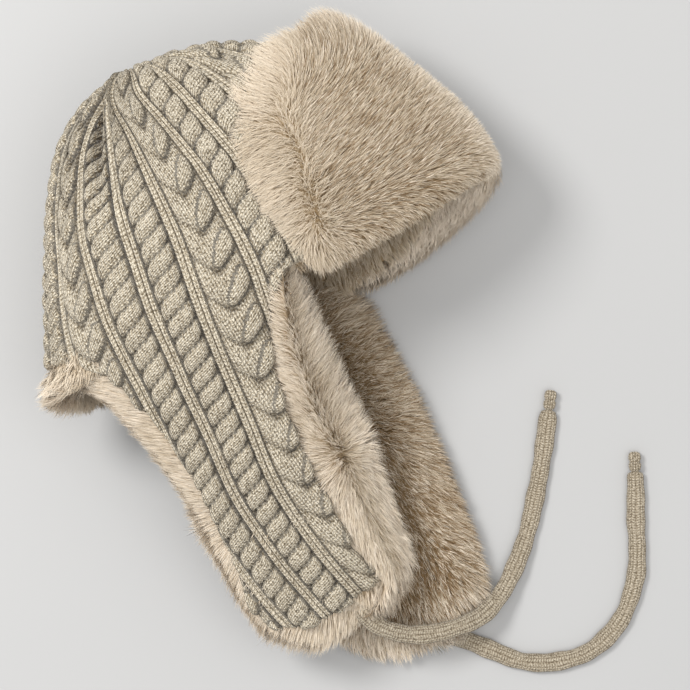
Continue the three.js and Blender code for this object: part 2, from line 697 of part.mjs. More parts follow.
function brim() {
  const rims = [...brimRimLocks(1 - brimRim.inset, 1), ...brimRimLocks(brimRim.inset, -1)];
  const ends = [...brimEndLocks(brimEnd.inset), ...brimEndLocks(1 - brimEnd.inset)];
  const furry = withLocks(brimBacking(), [...brimFaceLocks(), ...rims, ...ends]);
  const crown = plainBag(knitSpace.offset, -5, spaceRows);
  const floor = prism(boxOutline(-reach, reach, -reach, reach), 0, ceiling);
  const cornerX = rightCorner.x + clearance;
  const corner = prism(boxOutline(-reach, cornerX, -reach, rightCorner.toY), rightCorner.fromZ, ceiling);
  return biggest(furry.subtract(crown).subtract(corner).intersect(floor));
}

function tieCurve(route) {
  const points = route.map(([x, y, z]) => new THREE.Vector3(x, y, z));
  return new THREE.CatmullRomCurve3(points, false, 'centripetal');
}

// A flat band along a route, its width level
function tieBand(route, grown) {
  const curve = tieCurve(route);
  const steps = Math.round(curve.getLength() / tieSection.stepLength);
  const loops = [];
  for (let s = 0; s <= steps; s += 1) {
    const centre = curve.getPointAt(s / steps);
    const along = curve.getTangentAt(s / steps);
    const side = along.clone().cross(upright).normalize();
    const up = side.clone().cross(along);
    const loop = [];
    for (let i = 0; i < tieSection.sides; i += 1) {
      const angle = ((i + 0.5) / tieSection.sides) * 2 * Math.PI;
      const across = ((tieSection.width + grown) / 2) * roundPower(Math.cos(angle), tieSection.roundness);
      const height = ((tieSection.thickness + grown) / 2) * roundPower(Math.sin(angle), tieSection.roundness);
      loop.push(centre.clone().addScaledVector(side, across).addScaledVector(up, height));
    }
    loops.push(loop);
  }
  return loftSolid(loops);
}

// The groove that a tie presses into the fur under it, open at the top
function tieGroove(route, lifts) {
  return wasm.Manifold.union(lifts.map((height) => tieBand(route, tieChannel.spare).translate(0, 0, height)));
}

function tieMeshes(side, route) {
  const curve = tieCurve(route);
  const end = curve.getPointAt(1);
  const along = curve.getTangentAt(1);
  const tip = new THREE.SphereGeometry(0.5, tieTip.sides, tieTip.rings);
  tip.scale(tieTip.length, tieTip.width, tieTip.thickness);
  tip.rotateZ(Math.atan2(along.y, along.x));
  const away = tieTip.length / 2 + clearance;
  tip.translate(end.x + along.x * away, end.y + along.y * away, tieTip.thickness / 2 + tieTip.offTable);
  return [
    meshFrom(tieBand(route, 0), `${side}_tie`, colours.tie),
    meshFrom(solidFrom(tip), `${side}_tie_tip`, colours.tie),
  ];
}

const hat = new THREE.Group();
const room = knitRoom();
hat.add(meshFrom(knitShell(), 'knit_shell', colours.knit));
hat.add(meshFrom(crownLining(), 'crown_lining', colours.innerFur));
hat.add(meshFrom(rightFlapFur(room), 'right_flap_fur', colours.fur));
hat.add(meshFrom(leftFlapFur(room), 'left_flap_fur', colours.fur));
hat.add(meshFrom(brim(), 'brim', colours.fur));
hat.add(...tieMeshes('right', rightTieRoute));
hat.add(...tieMeshes('left', leftTieRoute));

export default hat;
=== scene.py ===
# A cable-knit trapper hat with a plush lining, lying on its left side on a pale table.
# Metres. +X is the front of the hat, +Y the top of its crown, +Z its right side, which faces up.
import math

import bpy
import numpy as np
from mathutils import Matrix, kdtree


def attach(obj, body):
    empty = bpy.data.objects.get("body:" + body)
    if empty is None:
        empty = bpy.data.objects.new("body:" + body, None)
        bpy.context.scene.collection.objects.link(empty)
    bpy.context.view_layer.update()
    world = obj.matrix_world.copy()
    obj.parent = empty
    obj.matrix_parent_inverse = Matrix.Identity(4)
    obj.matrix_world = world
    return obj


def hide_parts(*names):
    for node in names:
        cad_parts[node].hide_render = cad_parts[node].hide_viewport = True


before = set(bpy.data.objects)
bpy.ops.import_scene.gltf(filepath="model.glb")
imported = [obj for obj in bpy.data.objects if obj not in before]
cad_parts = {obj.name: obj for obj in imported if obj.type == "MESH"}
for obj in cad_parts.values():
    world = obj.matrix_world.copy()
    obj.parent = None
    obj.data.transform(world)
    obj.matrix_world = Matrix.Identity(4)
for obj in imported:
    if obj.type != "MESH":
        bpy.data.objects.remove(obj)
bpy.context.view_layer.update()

tablePoint = np.array([-0.060, 0.070, 0.0])  # where the origin stands in the tables below
full = 2 * math.pi


# A soft step from 0 to 1
def ease(x, low, high):
    t = np.clip((x - low) / (high - low), 0, 1)
    return t * t * (3 - 2 * t)


def mix(a, b, t):
    return a + (b - a) * t


def unit(v):
    return v / np.maximum(np.linalg.norm(v, axis=-1, keepdims=True), 1e-12)


def hump(x, centre, width):
    return np.exp(-(((x - centre) / width) ** 2))


def roundPower(v, roundness):
    return np.sign(v) * np.abs(v) ** (2 / roundness)


# A smooth line from b to c, with a and d as the points before and after
def curve(a, b, c, d, t):
    return 0.5 * (2 * b + (c - a) * t + (2 * a - 5 * b + 4 * c - d) * t**2 + (3 * b - a - 3 * c + d) * t**3)


def withEnds(points):
    return np.vstack([2 * points[0] - points[1], points, 2 * points[-1] - points[-2]])


# A soft random field over places, about -1 to 1, as a sum of waves
def wander(points, size, seed, waves=7):
    rng = np.random.default_rng(seed)
    total = 0
    for _ in range(waves):
        way = unit(rng.normal(size=3)) * full / (size * rng.uniform(0.7, 1.6))
        total = total + np.sin(points @ way + rng.uniform(0, full))
    return total / (waves / 2)


def pick(piece):
    bpy.ops.object.select_all(action="DESELECT")
    piece.select_set(True)
    bpy.context.view_layer.objects.active = piece


# The vertex at each corner of each face
def cornerVertices(mesh):
    corner = np.zeros(len(mesh.loops), int)
    mesh.loops.foreach_get("vertex_index", corner)
    return corner


# A grid primitive whose vertices, row by row, are moved to the given places
def gridPiece(name, points, maps):
    rows, columns = points.shape[:2]
    bpy.ops.object.select_all(action="DESELECT")
    bpy.ops.mesh.primitive_grid_add(x_subdivisions=columns - 1, y_subdivisions=rows - 1, size=1, calc_uvs=False)
    piece = bpy.context.object
    piece.name = name
    mesh = piece.data
    mesh.vertices.foreach_set("co", points.ravel())
    corner = cornerVertices(mesh)
    for title, uv in maps.items():
        mesh.uv_layers.new(name=title).data.foreach_set("uv", uv.reshape(-1, 2)[corner].ravel())
    mesh.update()
    return piece


def deleteFaces(piece, gone):
    pick(piece)
    mesh = piece.data
    for parts in (mesh.vertices, mesh.edges):
        parts.foreach_set("select", np.zeros(len(parts), bool))
    mesh.polygons.foreach_set("select", gone)
    bpy.ops.object.mode_set(mode="EDIT")
    bpy.ops.mesh.select_mode(type="FACE")
    bpy.ops.mesh.delete(type="FACE")
    bpy.ops.object.mode_set(mode="OBJECT")


# Joins what meets, and turns the faces outwards
def closeSeams(piece):
    pick(piece)
    bpy.ops.object.mode_set(mode="EDIT")
    bpy.ops.mesh.select_mode(type="VERT")
    bpy.ops.mesh.select_all(action="SELECT")
    bpy.ops.mesh.remove_doubles(threshold=1e-5)
    bpy.ops.mesh.normals_make_consistent(inside=False)
    bpy.ops.object.mode_set(mode="OBJECT")


def finishPiece(piece, material, slot, *nodes):
    pick(piece)
    bpy.ops.object.shade_smooth()
    piece.data.materials.append(material)
    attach(piece, "root")
    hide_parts(*nodes)
    piece.data.calc_loop_triangles()
    print(piece.name + ":", len(piece.data.loop_triangles), "triangles")


# Shader maths: a number that changes over the surface
class Amount:
    def __init__(self, finish, socket):
        self.finish = finish
        self.socket = socket

    def calc(self, operation, *others):
        values = [self.socket] + [getattr(o, "socket", o) for o in others]
        node = self.finish.add("ShaderNodeMath", {"operation": operation}, values)
        return Amount(self.finish, node.outputs[0])

    def __add__(self, other):
        return self.calc("ADD", other)

    def __mul__(self, other):
        return self.calc("MULTIPLY", other)

    def __sub__(self, other):
        return self.calc("SUBTRACT", other)

    def __rsub__(self, other):
        return (self * -1) + other

    def __truediv__(self, other):
        return self.calc("DIVIDE", other)

    def __pow__(self, other):
        return self.calc("POWER", other)

    __radd__ = __add__
    __rmul__ = __mul__


# A material whose nodes all come from add()
class Finish:
    def __init__(self, name, roughness, sheen=0.0):
        self.material = bpy.data.materials.new(name)
        self.material.use_nodes = True
        self.tree = self.material.node_tree
        self.tree.nodes.clear()
        self.shader = self.add("ShaderNodeBsdfPrincipled", {}, {
            "Roughness": roughness, "Sheen Weight": sheen, "Specular IOR Level": 0.25,
        })
        self.add("ShaderNodeOutputMaterial", {}, {"Surface": self.shader.outputs[0]})

    def add(self, kind, settings, sockets):
        node = self.tree.nodes.new(kind)
        for name, value in settings.items():
            if name == "stops":
                self.setStops(node.color_ramp, value)
            else:
                setattr(node, name, value)
        pairs = sockets.items() if isinstance(sockets, dict) else enumerate(sockets)
        for name, value in pairs:
            value = getattr(value, "socket", value)
            if isinstance(value, bpy.types.NodeSocket):
                self.tree.links.new(value, node.inputs[name])
            else:
                node.inputs[name].default_value = value
        return node

    def setStops(self, ramp, stops):
        while len(ramp.elements) < len(stops):
            ramp.elements.new(0.5)
        for element, (place, colour) in zip(ramp.elements, stops):
            element.position = place
            element.color = (*colour, 1)

    def ramp(self, value, stops):
        return self.add("ShaderNodeValToRGB", {"stops": stops}, {"Fac": value}).outputs["Color"]

    # a colour mix has its factor at input 0, its colours at 6 and 7, and its result at output 2
    def blend(self, share, first, second):
        return self.add("ShaderNodeMix", {"data_type": "RGBA"}, {0: share, 6: first, 7: second}).outputs[2]

    def noise(self, scale, detail, roughness):
        place = self.add("ShaderNodeTexCoord", {}, {}).outputs["Object"]
        sockets = {"Vector": place, "Scale": scale, "Detail": detail, "Roughness": roughness}
        return Amount(self, self.add("ShaderNodeTexNoise", {}, sockets).outputs[0])

    def uv(self, name):
        node = self.add("ShaderNodeUVMap", {"uv_map": name}, {})
        parts = self.add("ShaderNodeSeparateXYZ", {}, [node.outputs[0]])
        return Amount(self, parts.outputs[0]), Amount(self, parts.outputs[1])

    def colour(self, socket):
        self.tree.links.new(socket, self.shader.inputs["Base Color"])

    def relief(self, height, distance):
        node = self.add("ShaderNodeBump", {}, {"Height": height, "Distance": distance})
        self.tree.links.new(node.outputs[0], self.shader.inputs["Normal"])


# What both knits share
yarn = {
    "roughness": 0.92, "sheen": 0.15, "slant": 0.9, "legShape": 0.7, "legLow": 0.25, "legBeat": 0.75,
    "blotchScale": 70, "fibreScale": 4200, "raised": 0.8, "fuzz": 0.15, "nub": 0.4,
    "dotShift": 4, "hollowShape": 0.8,
}


# Knitted wool: two slanted legs to a stitch, in a marled yarn, with shade painted into the hollows
def knitFinish(name, look):
    finish = Finish(name, yarn["roughness"], yarn["sheen"])
    across, along = finish.uv("stitches")
    fleck = finish.noise(look["fleckScale"], 2.0, 0.6)
    legs = (across * full).calc("SINE").calc("ABSOLUTE")
    vee = (across.calc("FRACT") - 0.5).calc("ABSOLUTE")
    beat = ((along + vee * yarn["slant"] + fleck * look["uneven"]) * full).calc("SINE") * 0.5 + 0.5
    stitch = (legs ** yarn["legShape"]) * (yarn["legLow"] + beat * yarn["legBeat"])
    blotch = finish.noise(yarn["blotchScale"], 3.0, 0.6)
    fibre = finish.noise(yarn["fibreScale"], 2.0, 0.7)
    shade = stitch * look["stitch"] + (fleck - 0.5) * look["fleck"] + (blotch - 0.5) * look["blotch"]
    colour = finish.ramp(shade + look["base"], look["stops"])
    # painted shade: where the relief attribute is low, the colour is blended towards a shadow colour, broken into
    # dots along the rows
    if "hollow" in look:
        height, beads = finish.uv("relief")
        dots = (beads * full + fleck * yarn["dotShift"]).calc("SINE") * 0.5 + 0.5
        deep = (1 - height / look["hollow"]).calc("MAXIMUM", 0) ** yarn["hollowShape"]
        colour = finish.blend(deep * (0.5 + dots * 0.5) * look["paintedShade"], colour, (*look["shadow"], 1))
    finish.colour(colour)
    finish.relief(stitch * yarn["raised"] + fibre * yarn["fuzz"] + fleck * yarn["nub"], look["depth"])
    return finish.material


# Plush pile: u is the tone of a tuft, v runs from its root to its tip
def furFinish(name, look):
    finish = Finish(name, look["roughness"], look["sheen"])
    tone, along = finish.uv("OFBake")
    root = finish.ramp(tone, look["root"])
    tip = finish.ramp(tone, look["tip"])
    finish.colour(finish.blend((along - look["rootShare"]) ** look["fade"], root, tip))
    return finish.material


# Camera: straight down over the middle of the picture
view = {"height": 1.300, "frameWidth": 0.4002, "focusHeight": 0.060, "turn": -25.0, "sensor": 36.0}
bpy.ops.object.camera_add(
    location=(-tablePoint[0], -tablePoint[1], view["height"]),
    rotation=(0, 0, math.radians(view["turn"])),
)
camera = bpy.context.object
camera.data.sensor_fit = "HORIZONTAL"
camera.data.sensor_width = view["sensor"]
camera.data.lens = view["sensor"] * (view["height"] - view["focusHeight"]) / view["frameWidth"]
camera.data.clip_start = 0.01
bpy.context.scene.camera = camera
print("camera ready")


# The ties: flat knitted tubes that lie as they fell
ties = {
    "width": 0.011, "thickness": 0.004, "roundness": 2.6, "sides": 20, "ringGap": 0.0022,
    "stitchWidth": 0.0028, "stitchLength": 0.0016,
    "look": {
        "stitch": 0.60, "base": 0.05, "fleck": 1.6, "fleckScale": 900, "blotch": 0.2, "uneven": 0.8,
        "depth": 0.0010,
        "stops": [(0.0, (0.17, 0.13, 0.08)), (0.4, (0.44, 0.37, 0.27)), (1.0, (0.78, 0.69, 0.545))],
    },
    "right": {
        "length": 0.236,
        "route": [
            (-0.058, -0.1415, 0.045), (-0.056, -0.149, 0.043), (-0.050, -0.161, 0.038),
            (-0.036, -0.173, 0.031), (-0.016, -0.180, 0.0255), (0.005, -0.182, 0.0165),
            (0.022, -0.176, 0.009), (0.038, -0.164, 0.005), (0.052, -0.150, 0.003),
            (0.063, -0.136, 0.0026), (0.074, -0.121, 0.0026), (0.084, -0.106, 0.0026),
            (0.091, -0.095, 0.0026), (0.096, -0.087, 0.0026),
        ],
    },
    "left": {
        "length": 0.244,
        "route": [
            (-0.039, -0.178, 0.0026), (-0.029, -0.182, 0.0026), (-0.013, -0.190, 0.0026),
            (0.002, -0.205, 0.0026), (0.016, -0.219, 0.0026), (0.034, -0.228, 0.0026),
            (0.057, -0.231, 0.0026), (0.081, -0.222, 0.0026), (0.099, -0.204, 0.0026),
            (0.108, -0.188, 0.0026), (0.115, -0.171, 0.0026), (0.122, -0.156, 0.0026),
            (0.1275, -0.143, 0.0026),
        ],
    },
    "tip": {"length": 0.012, "width": 0.0075, "thickness": 0.005, "offTable": 0.0002},
}


# A smooth line through the points of a route, evenly stepped
def alongRoute(route, gap):
    p = withEnds(np.array(route) - tablePoint)
    t = np.linspace(0, 1, 24, endpoint=False)[:, None]
    fine = np.vstack([curve(a, b, c, d, t) for a, b, c, d in zip(p, p[1:], p[2:], p[3:])] + [p[-2]])
    length = np.r_[0, np.cumsum(np.linalg.norm(np.diff(fine, axis=0), axis=1))]
    steps = np.linspace(0, length[-1], int(length[-1] / gap) + 1)
    return np.stack([np.interp(steps, length, fine[:, k]) for k in range(3)], -1), length[-1]


def makeTie(side, material):
    line, length = alongRoute(ties[side]["route"], ties["ringGap"])
    heading = unit(np.gradient(line, axis=0))
    sideways = unit(np.cross(heading, [0, 0, 1.0]))
    up = np.cross(sideways, heading)
    turn = np.linspace(0, full, ties["sides"] + 1)
    wide = roundPower(np.cos(turn), ties["roundness"]) * ties["width"] / 2
    high = roundPower(np.sin(turn), ties["roundness"]) * ties["thickness"] / 2
    down = np.linspace(0, length, len(line))
    swell = 1 + 0.05 * np.sin(down * 160)[:, None] + 0.04 * np.sin(down * 410 + 1)[:, None]
    pinch = np.ones((len(line), 1))
    pinch[:3, 0], pinch[-3:, 0] = [0, 0.85, 0.97], [0.97, 0.85, 0]
    wide, high = (wide * swell * pinch)[..., None], (high * pinch)[..., None]
    points = line[:, None] + sideways[:, None] * wide + up[:, None] * high
    column, row = turn[None] * ties["width"] / ties["stitchWidth"] / math.pi, down[:, None] / ties["stitchLength"]
    uv = np.stack(np.broadcast_arrays(column, row), -1)
    piece = gridPiece(side + "TieBand", points, {"stitches": uv})
    closeSeams(piece)
    finishPiece(piece, material, "tie_knit", side + "_tie")

    tip = ties["tip"]
    bpy.ops.mesh.primitive_uv_sphere_add(segments=24, ring_count=16, radius=0.5)
    end = bpy.context.object
    end.name = side + "TieEnd"
    co = np.array([v.co for v in end.data.vertices])
    co = co / (np.abs(2 * co) ** 4).sum(1, keepdims=True) ** 0.25  # squarer than a ball
    pinch = 1 - 0.22 * hump(co[:, 0], 0.02, 0.07)
    centre = line[-1] + heading[-1] * (tip["length"] / 2 - 0.001)
    centre[2] = tip["thickness"] / 2 + tip["offTable"]
    wide, high = (co[:, 1] * pinch)[:, None] * tip["width"], (co[:, 2] * pinch)[:, None] * tip["thickness"]
    shaped = co[:, :1] * tip["length"] * heading[-1] + wide * sideways[-1] + high * [0, 0, 1] + centre
    end.data.vertices.foreach_set("co", shaped.ravel())
    end.data.uv_layers[0].name = "stitches"
    around = np.stack([co[:, 1] * 2.5, co[:, 0] * tip["length"] / ties["stitchLength"]], -1)
    end.data.uv_layers[0].data.foreach_set("uv", around[cornerVertices(end.data)].ravel())
    finishPiece(end, material, "tie_knit", side + "_tie_tip")
    print(side, "tie:", round(length * 1000), "mm")


tieMaterial = knitFinish("tieKnit", ties["look"])
makeTie("right", tieMaterial)
makeTie("left", tieMaterial)


# The knitted bag: flat sections from the top of the crown to below the flaps
bag = {
    "sections": np.array([  # y, back, front, top, base
        [0.191, -0.046, -0.046, 0.078, 0.078],
        [0.188, -0.060, -0.010, 0.094, 0.057],
        [0.181, -0.079, 0.018, 0.103, 0.038],
        [0.168, -0.098, 0.040, 0.111, 0.020],
        [0.147, -0.116, 0.060, 0.117, 0.005],
        [0.116, -0.134, 0.075, 0.122, -0.002],
        [0.085, -0.149, 0.084, 0.122, -0.002],
        [0.053, -0.162, 0.088, 0.118, -0.002],
        [0.020, -0.168, 0.084, 0.108, -0.002],
        [-0.020, -0.172, 0.078, 0.095, -0.002],
        [-0.060, -0.176, 0.072, 0.081, -0.002],
        [-0.100, -0.173, 0.075, 0.068, -0.002],
        [-0.140, -0.165, 0.085, 0.057, -0.002],
        [-0.190, -0.150, 0.103, 0.048, -0.002],
    ]),
    "upperRoundness": 2.0, "lowerRoundness": 3.0,
    "leanForward": 0.20, "leanDown": 0.17, "leanHeight": 0.060,
    "propped": {"height": 0.017, "x": (-0.030, 0.045), "y": (0.0, 0.050)},
    "arch": {"drop": 0.008, "middle": -0.080, "half": 0.040, "most": 3.2, "y": (-0.040, 0.050)},
    "rowStep": 0.025, "shareSteps": 720,
}


def sectionsAt(row):
    table = bag["sections"]
    last = len(table) - 1
    first = np.minimum(np.floor(row).astype(int), last - 1)
    t = (row - first)[:, None]
    return curve(*(table[np.clip(first + k, 0, last)] for k in (-1, 0, 1, 2)), t)


def lean(x, y, z):
    deep = bag["leanHeight"] - z
    return np.stack([x + bag["leanForward"] * deep, y - bag["leanDown"] * deep, z], -1) - tablePoint


# How far the flaps' top side drops to its front and rear, where it arches over the fur
def archDrop(x, y, high):
    arch = bag["arch"]
    bent = np.minimum(((x - arch["middle"]) / arch["half"]) ** 2, arch["most"])
    return arch["drop"] * ease(-y, *arch["y"]) * bent * ease(high, 0.5, 0.8)


# The bag's smooth surface, tabled by row and by share of the way round from the back over the right side
def tableBag():
    rows = np.arange(0, len(bag["sections"]) - 1 + 1e-9, bag["rowStep"])
    turn = np.linspace(0, full, bag["shareSteps"] + 1)
    roundness = np.where(np.sin(turn) > 0, bag["upperRoundness"], bag["lowerRoundness"])
    outX, outZ = roundPower(np.cos(turn), roundness), roundPower(np.sin(turn), roundness)
    shares = np.linspace(0, 1, bag["shareSteps"] + 1)
    lines = []
    for y, back, front, top, base in sectionsAt(rows):
        x = (back + front) / 2 - (front - back) / 2 * outX
        z = (top + base) / 2 + (top - base) / 2 * outZ
        way = np.r_[0, np.cumsum(np.hypot(np.diff(x), np.diff(z)))]
        x, z = np.interp(shares * way[-1], way, x), np.interp(shares * way[-1], way, z)
        propped = bag["propped"]
        tall = max(top - base, 0.001)
        low = np.clip((top - z) / tall, 0, 1)
        z = z + propped["height"] * ease(x, *propped["x"]) * ease(y, *propped["y"]) * low**2
        z = z - archDrop(x, y, (z - base) / tall)
        lines.append(lean(x, y + 0 * x, z))
    surface = np.array(lines)
    along = np.roll(surface[:, :-1], -1, 1) - np.roll(surface[:, :-1], 1, 1)
    along = np.concatenate([along, along[:, :1]], 1)
    down = np.gradient(surface, axis=0)
    normals = unit(np.cross(along, -down))
    normals[:3] = normals[3]
    return surface, normals


bagSurface, bagNormals = tableBag()


# The place at a share and row of the bag, lifted off its surface by the offset
def onBag(share, row, offset=0.0):
    share, row = np.broadcast_arrays(share, row)
    s = (share % 1.0) * bag["shareSteps"]
    r = np.clip(row / bag["rowStep"], 0, len(bagSurface) - 1.001)
    si, ri = s.astype(int), r.astype(int)
    sj = np.minimum(si + 1, bag["shareSteps"])
    st, rt = (s - si)[..., None], (r - ri)[..., None]

    def read(table):
        return mix(mix(table[ri, si], table[ri, sj], st), mix(table[ri + 1, si], table[ri + 1, sj], st), rt)

    return read(bagSurface) + unit(read(bagNormals)) * np.asarray(offset)[..., None]


# The flaps' outlines by rows: edges of the fur and of the knit; no knit below its hem
flaps = {
    "right": {
        "rows": [  # y, furRear, knitRear, knitFront, furFront
            (0.055, -0.150, -0.150, -0.012, 0.000),
            (0.040, -0.148, -0.129, -0.023, -0.001),
            (0.022, -0.137, -0.123, -0.033, -0.002),
            (-0.010, -0.128, -0.116, -0.043, -0.003),
            (-0.045, -0.122, -0.113, -0.046, -0.003),
            (-0.080, -0.122, -0.114, -0.045, -0.004),
            (-0.110, -0.121, -0.116, -0.044, -0.006),
            (-0.124, -0.118, -0.114, -0.040, -0.008),
            (-0.133, -0.114, -0.108, -0.037, -0.012),
            (-0.147, -0.101, None, -0.048, -0.026),
            (-0.154, -0.086, None, -0.064, -0.048),
        ],
        "hem": (-0.084, -0.1415), "rim": 0.052,
    },
    "left": {
        "rows": [
            (0.040, -0.140, -0.136, -0.012, 0.006),
            (0.018, -0.122, -0.112, -0.016, 0.018),
            (-0.005, -0.108, -0.099, -0.014, 0.025),
            (-0.035, -0.096, -0.088, -0.013, 0.027),
            (-0.075, -0.090, -0.082, -0.012, 0.028),
            (-0.115, -0.088, -0.081, -0.012, 0.027),
            (-0.148, -0.086, -0.080, -0.011, 0.024),
            (-0.166, -0.079, -0.070, -0.014, 0.018),
            (-0.177, -0.068, None, -0.020, 0.004),
            (-0.184, -0.055, None, -0.036, -0.024),
        ],
        "hem": (-0.044, -0.172), "rim": 0.038,
    },
    "splitHeight": 0.025, "backHem": (-0.151, 0.058),
    "halfAround": 36, "endLength": 0.022, "endWidth": 0.6, "lowest": 0.0008,  # for the cores of their fur
}


def splineThrough(points, count):
    p = withEnds(np.array(points, float))
    t = np.linspace(0, len(p) - 3.001, count)
    i = t.astype(int)
    return curve(p[i], p[i + 1], p[i + 2], p[i + 3], (t - i)[:, None])


# The outline of the crown and one flap's knit, seen from above
def knitOutline(side):
    flap = flaps[side]
    rows = [row for row in flap["rows"] if row[2] is not None]
    rear = [(row[2], row[0]) for row in rows[1:]]
    front = [(row[3], row[0]) for row in rows][::-1]
    edge = splineThrough(rear + [flap["hem"]] + front[:-1], 160)
    far = 0.4
    backX, backY = flaps["backHem"]
    start = [(-far, backY), (backX, backY)]
    end = [(front[-1][0], flap["rim"]), (far, flap["rim"]), (far, far), (-far, far)]
    return np.vstack([start, edge, end]) - tablePoint[:2]


# Distance inside an outline, negative outside
def insideOutline(points, outline):
    best = np.full(len(points), np.inf)
    inside = np.zeros(len(points), bool)
    for p, q in zip(outline, np.roll(outline, -1, 0)):
        way = q - p
        t = np.clip(((points - p) @ way) / max(way @ way, 1e-12), 0, 1)
        best = np.minimum(best, np.linalg.norm(points - (p + t[:, None] * way), axis=1))
        crosses = (p[1] > points[:, 1]) != (q[1] > points[:, 1])
        if abs(way[1]) > 1e-12:
            inside ^= crosses & (points[:, 0] < p[0] + (points[:, 1] - p[1]) * way[0] / way[1])
    return np.where(inside, best, -best)


# The knit: columns of cable, rib and rope, seven times round
knit = {
    "columns": [
        ("cable", 0.0274), ("rib", 0.0080), ("rope", 0.0183), ("rib", 0.0080), ("rope", 0.0183), ("rib", 0.0080),
    ],
    "heights": {"cable": 0.0058, "rib": 0.0021, "rope": 0.0054},
    "steps": {"cable": 24, "rib": 8, "rope": 16}, "plainer": (0.54, 0.97),  # half the steps on the hidden side
    "repeats": 7, "firstCable": 0.106, "ground": -0.0030, "rowCount": 300,
    "ropePitch": 0.0113, "ropeRise": 0.95, "ropeReach": 0.0105, "ropeStitches": 4,
    "frontRopes": (0.27, 0.36, 0.81),  # from, to, and the pace of their turns
    "cablePitch": 0.0232, "leftRise": 0.78, "rightRise": 0.42, "cableReach": 0.0123, "bulbStitches": 7,
    "stitchWidth": 0.0031, "stitchLength": 0.0024, "ribStitch": 0.0024, "dotLength": 0.0027,
    "gather": (0.35, 2.5), "sag": 0.0008, "sagSize": 0.045, "measuredAt": (0.02, 0.12, 0.25, 0.40, 0.49),
    "edgeRound": 0.0035, "edgeDrop": 0.0045, "lowest": 0.0002,
    "underBrim": {"lastRow": 7.6, "rise": 0.85, "width": 0.09, "from": 0.2, "to": 0.7, "rowLength": 0.02},
    "shiftPlaces": (0.05, 0.1347, 0.1774, 0.2201, 0.2776, 0.3203, 0.42, 0.55),
    "shifts": [  # row, then how far the knit at each place leans to the back
        (2, 0, -0.004, 0.000, -0.042, -0.056, -0.050, -0.030, 0),
        (3, 0, -0.015, 0.000, -0.038, -0.052, -0.044, -0.028, 0),
        (4, 0, -0.023, -0.003, -0.022, -0.036, -0.038, -0.024, 0),
        (5, 0, -0.021, -0.008, -0.009, -0.017, -0.024, -0.016, 0),
        (6, 0, -0.014, -0.005, -0.002, -0.007, -0.013, -0.009, 0),
        (7, 0, -0.006, -0.002, 0.000, 0.000, -0.003, -0.002, 0),
        (8, 0, 0, 0, 0, 0, 0, 0, 0),
    ],
    "tuck": {
        "share": 0.145, "width": 0.016, "dip": 0.0105, "lip": 0.0035, "lipShare": 0.174, "lipWidth": 0.010,
        "hollowShare": 0.100, "hollowWidth": 0.045, "hollow": 0.0035, "rows": (0.8, 5.4),
        # shade: how far the pleat's valley is painted into shade
        "shade": 0.9,
    },
    "look": {
        "stitch": 0.92, "base": 0.19, "fleck": 2.5, "fleckScale": 700, "blotch": 0.3, "uneven": 1.0,
        "depth": 0.0016,
        # painted shade in the hollows: below this share of the relief height, blended this strongly to this
        # shadow colour
        "hollow": 0.50, "paintedShade": 1.0, "shadow": (0.070, 0.048, 0.024),
        "stops": [
            (0.0, (0.14, 0.105, 0.062)), (0.3, (0.36, 0.295, 0.20)),
            (0.6, (0.58, 0.50, 0.37)), (1.0, (0.86, 0.77, 0.61)),
        ],
    },
}


# Where a knit place sits round the bag: the columns lean to the back near the top
def shareOf(place, row):
    place, row = np.broadcast_arrays(place, row)
    table = np.array(knit["shifts"], float)
    fineRows = np.linspace(table[0, 0], table[-1, 0], 121)
    fine = splineThrough(table[:, 1:], len(fineRows))
    level = np.clip((row - fineRows[0]) / (fineRows[1] - fineRows[0]), 0, len(fineRows) - 1.001)
    low = level.astype(int)
    spots = np.array(knit["shiftPlaces"])
    within = place % 1.0
    k = np.clip(np.searchsorted(spots, within, "right") - 1, 0, len(spots) - 2)
    t = np.clip((within - spots[k]) / (spots[k + 1] - spots[k]), 0, 1)
    lower, upper = (mix(fine[i, k], fine[i, k + 1], t) for i in (low, low + 1))
    return place + mix(lower, upper, level - low)


# The pleat near the top: a lip with a deep valley behind it
def tuckAt(share, row):
    tuck = knit["tuck"]
    down = np.sin(math.pi * np.clip((row - tuck["rows"][0]) / (tuck["rows"][1] - tuck["rows"][0]), 0, 1))
    lip = tuck["lip"] * hump(share, tuck["lipShare"], tuck["lipWidth"])
    hollow = tuck["hollow"] * hump(share, tuck["hollowShare"], tuck["hollowWidth"])
    return down * (lip - hollow - tuck["dip"] * hump(share, tuck["share"], tuck["width"]))


# Each returns the height of the relief, the stitch column and the stitch row
def ropeRelief(x, along):
    phase = along / knit["ropePitch"] + knit["ropeRise"] * 0.5 * (0.55 * x + 0.45 * x**3)
    t = phase % 1.0 - 0.5
    body = np.sqrt(np.clip(1 - np.abs(2 * t) ** 2.2 - np.abs(x / 0.98) ** 5, 0, 1))
    bed = np.sqrt(np.clip(1 - x**4, 0, 1))
    row = x * knit["ropeReach"] / knit["stitchLength"] + np.floor(phase) * 0.37
    return 0.88 * body + 0.12 * bed, (t + 0.5) * knit["ropeStitches"], row


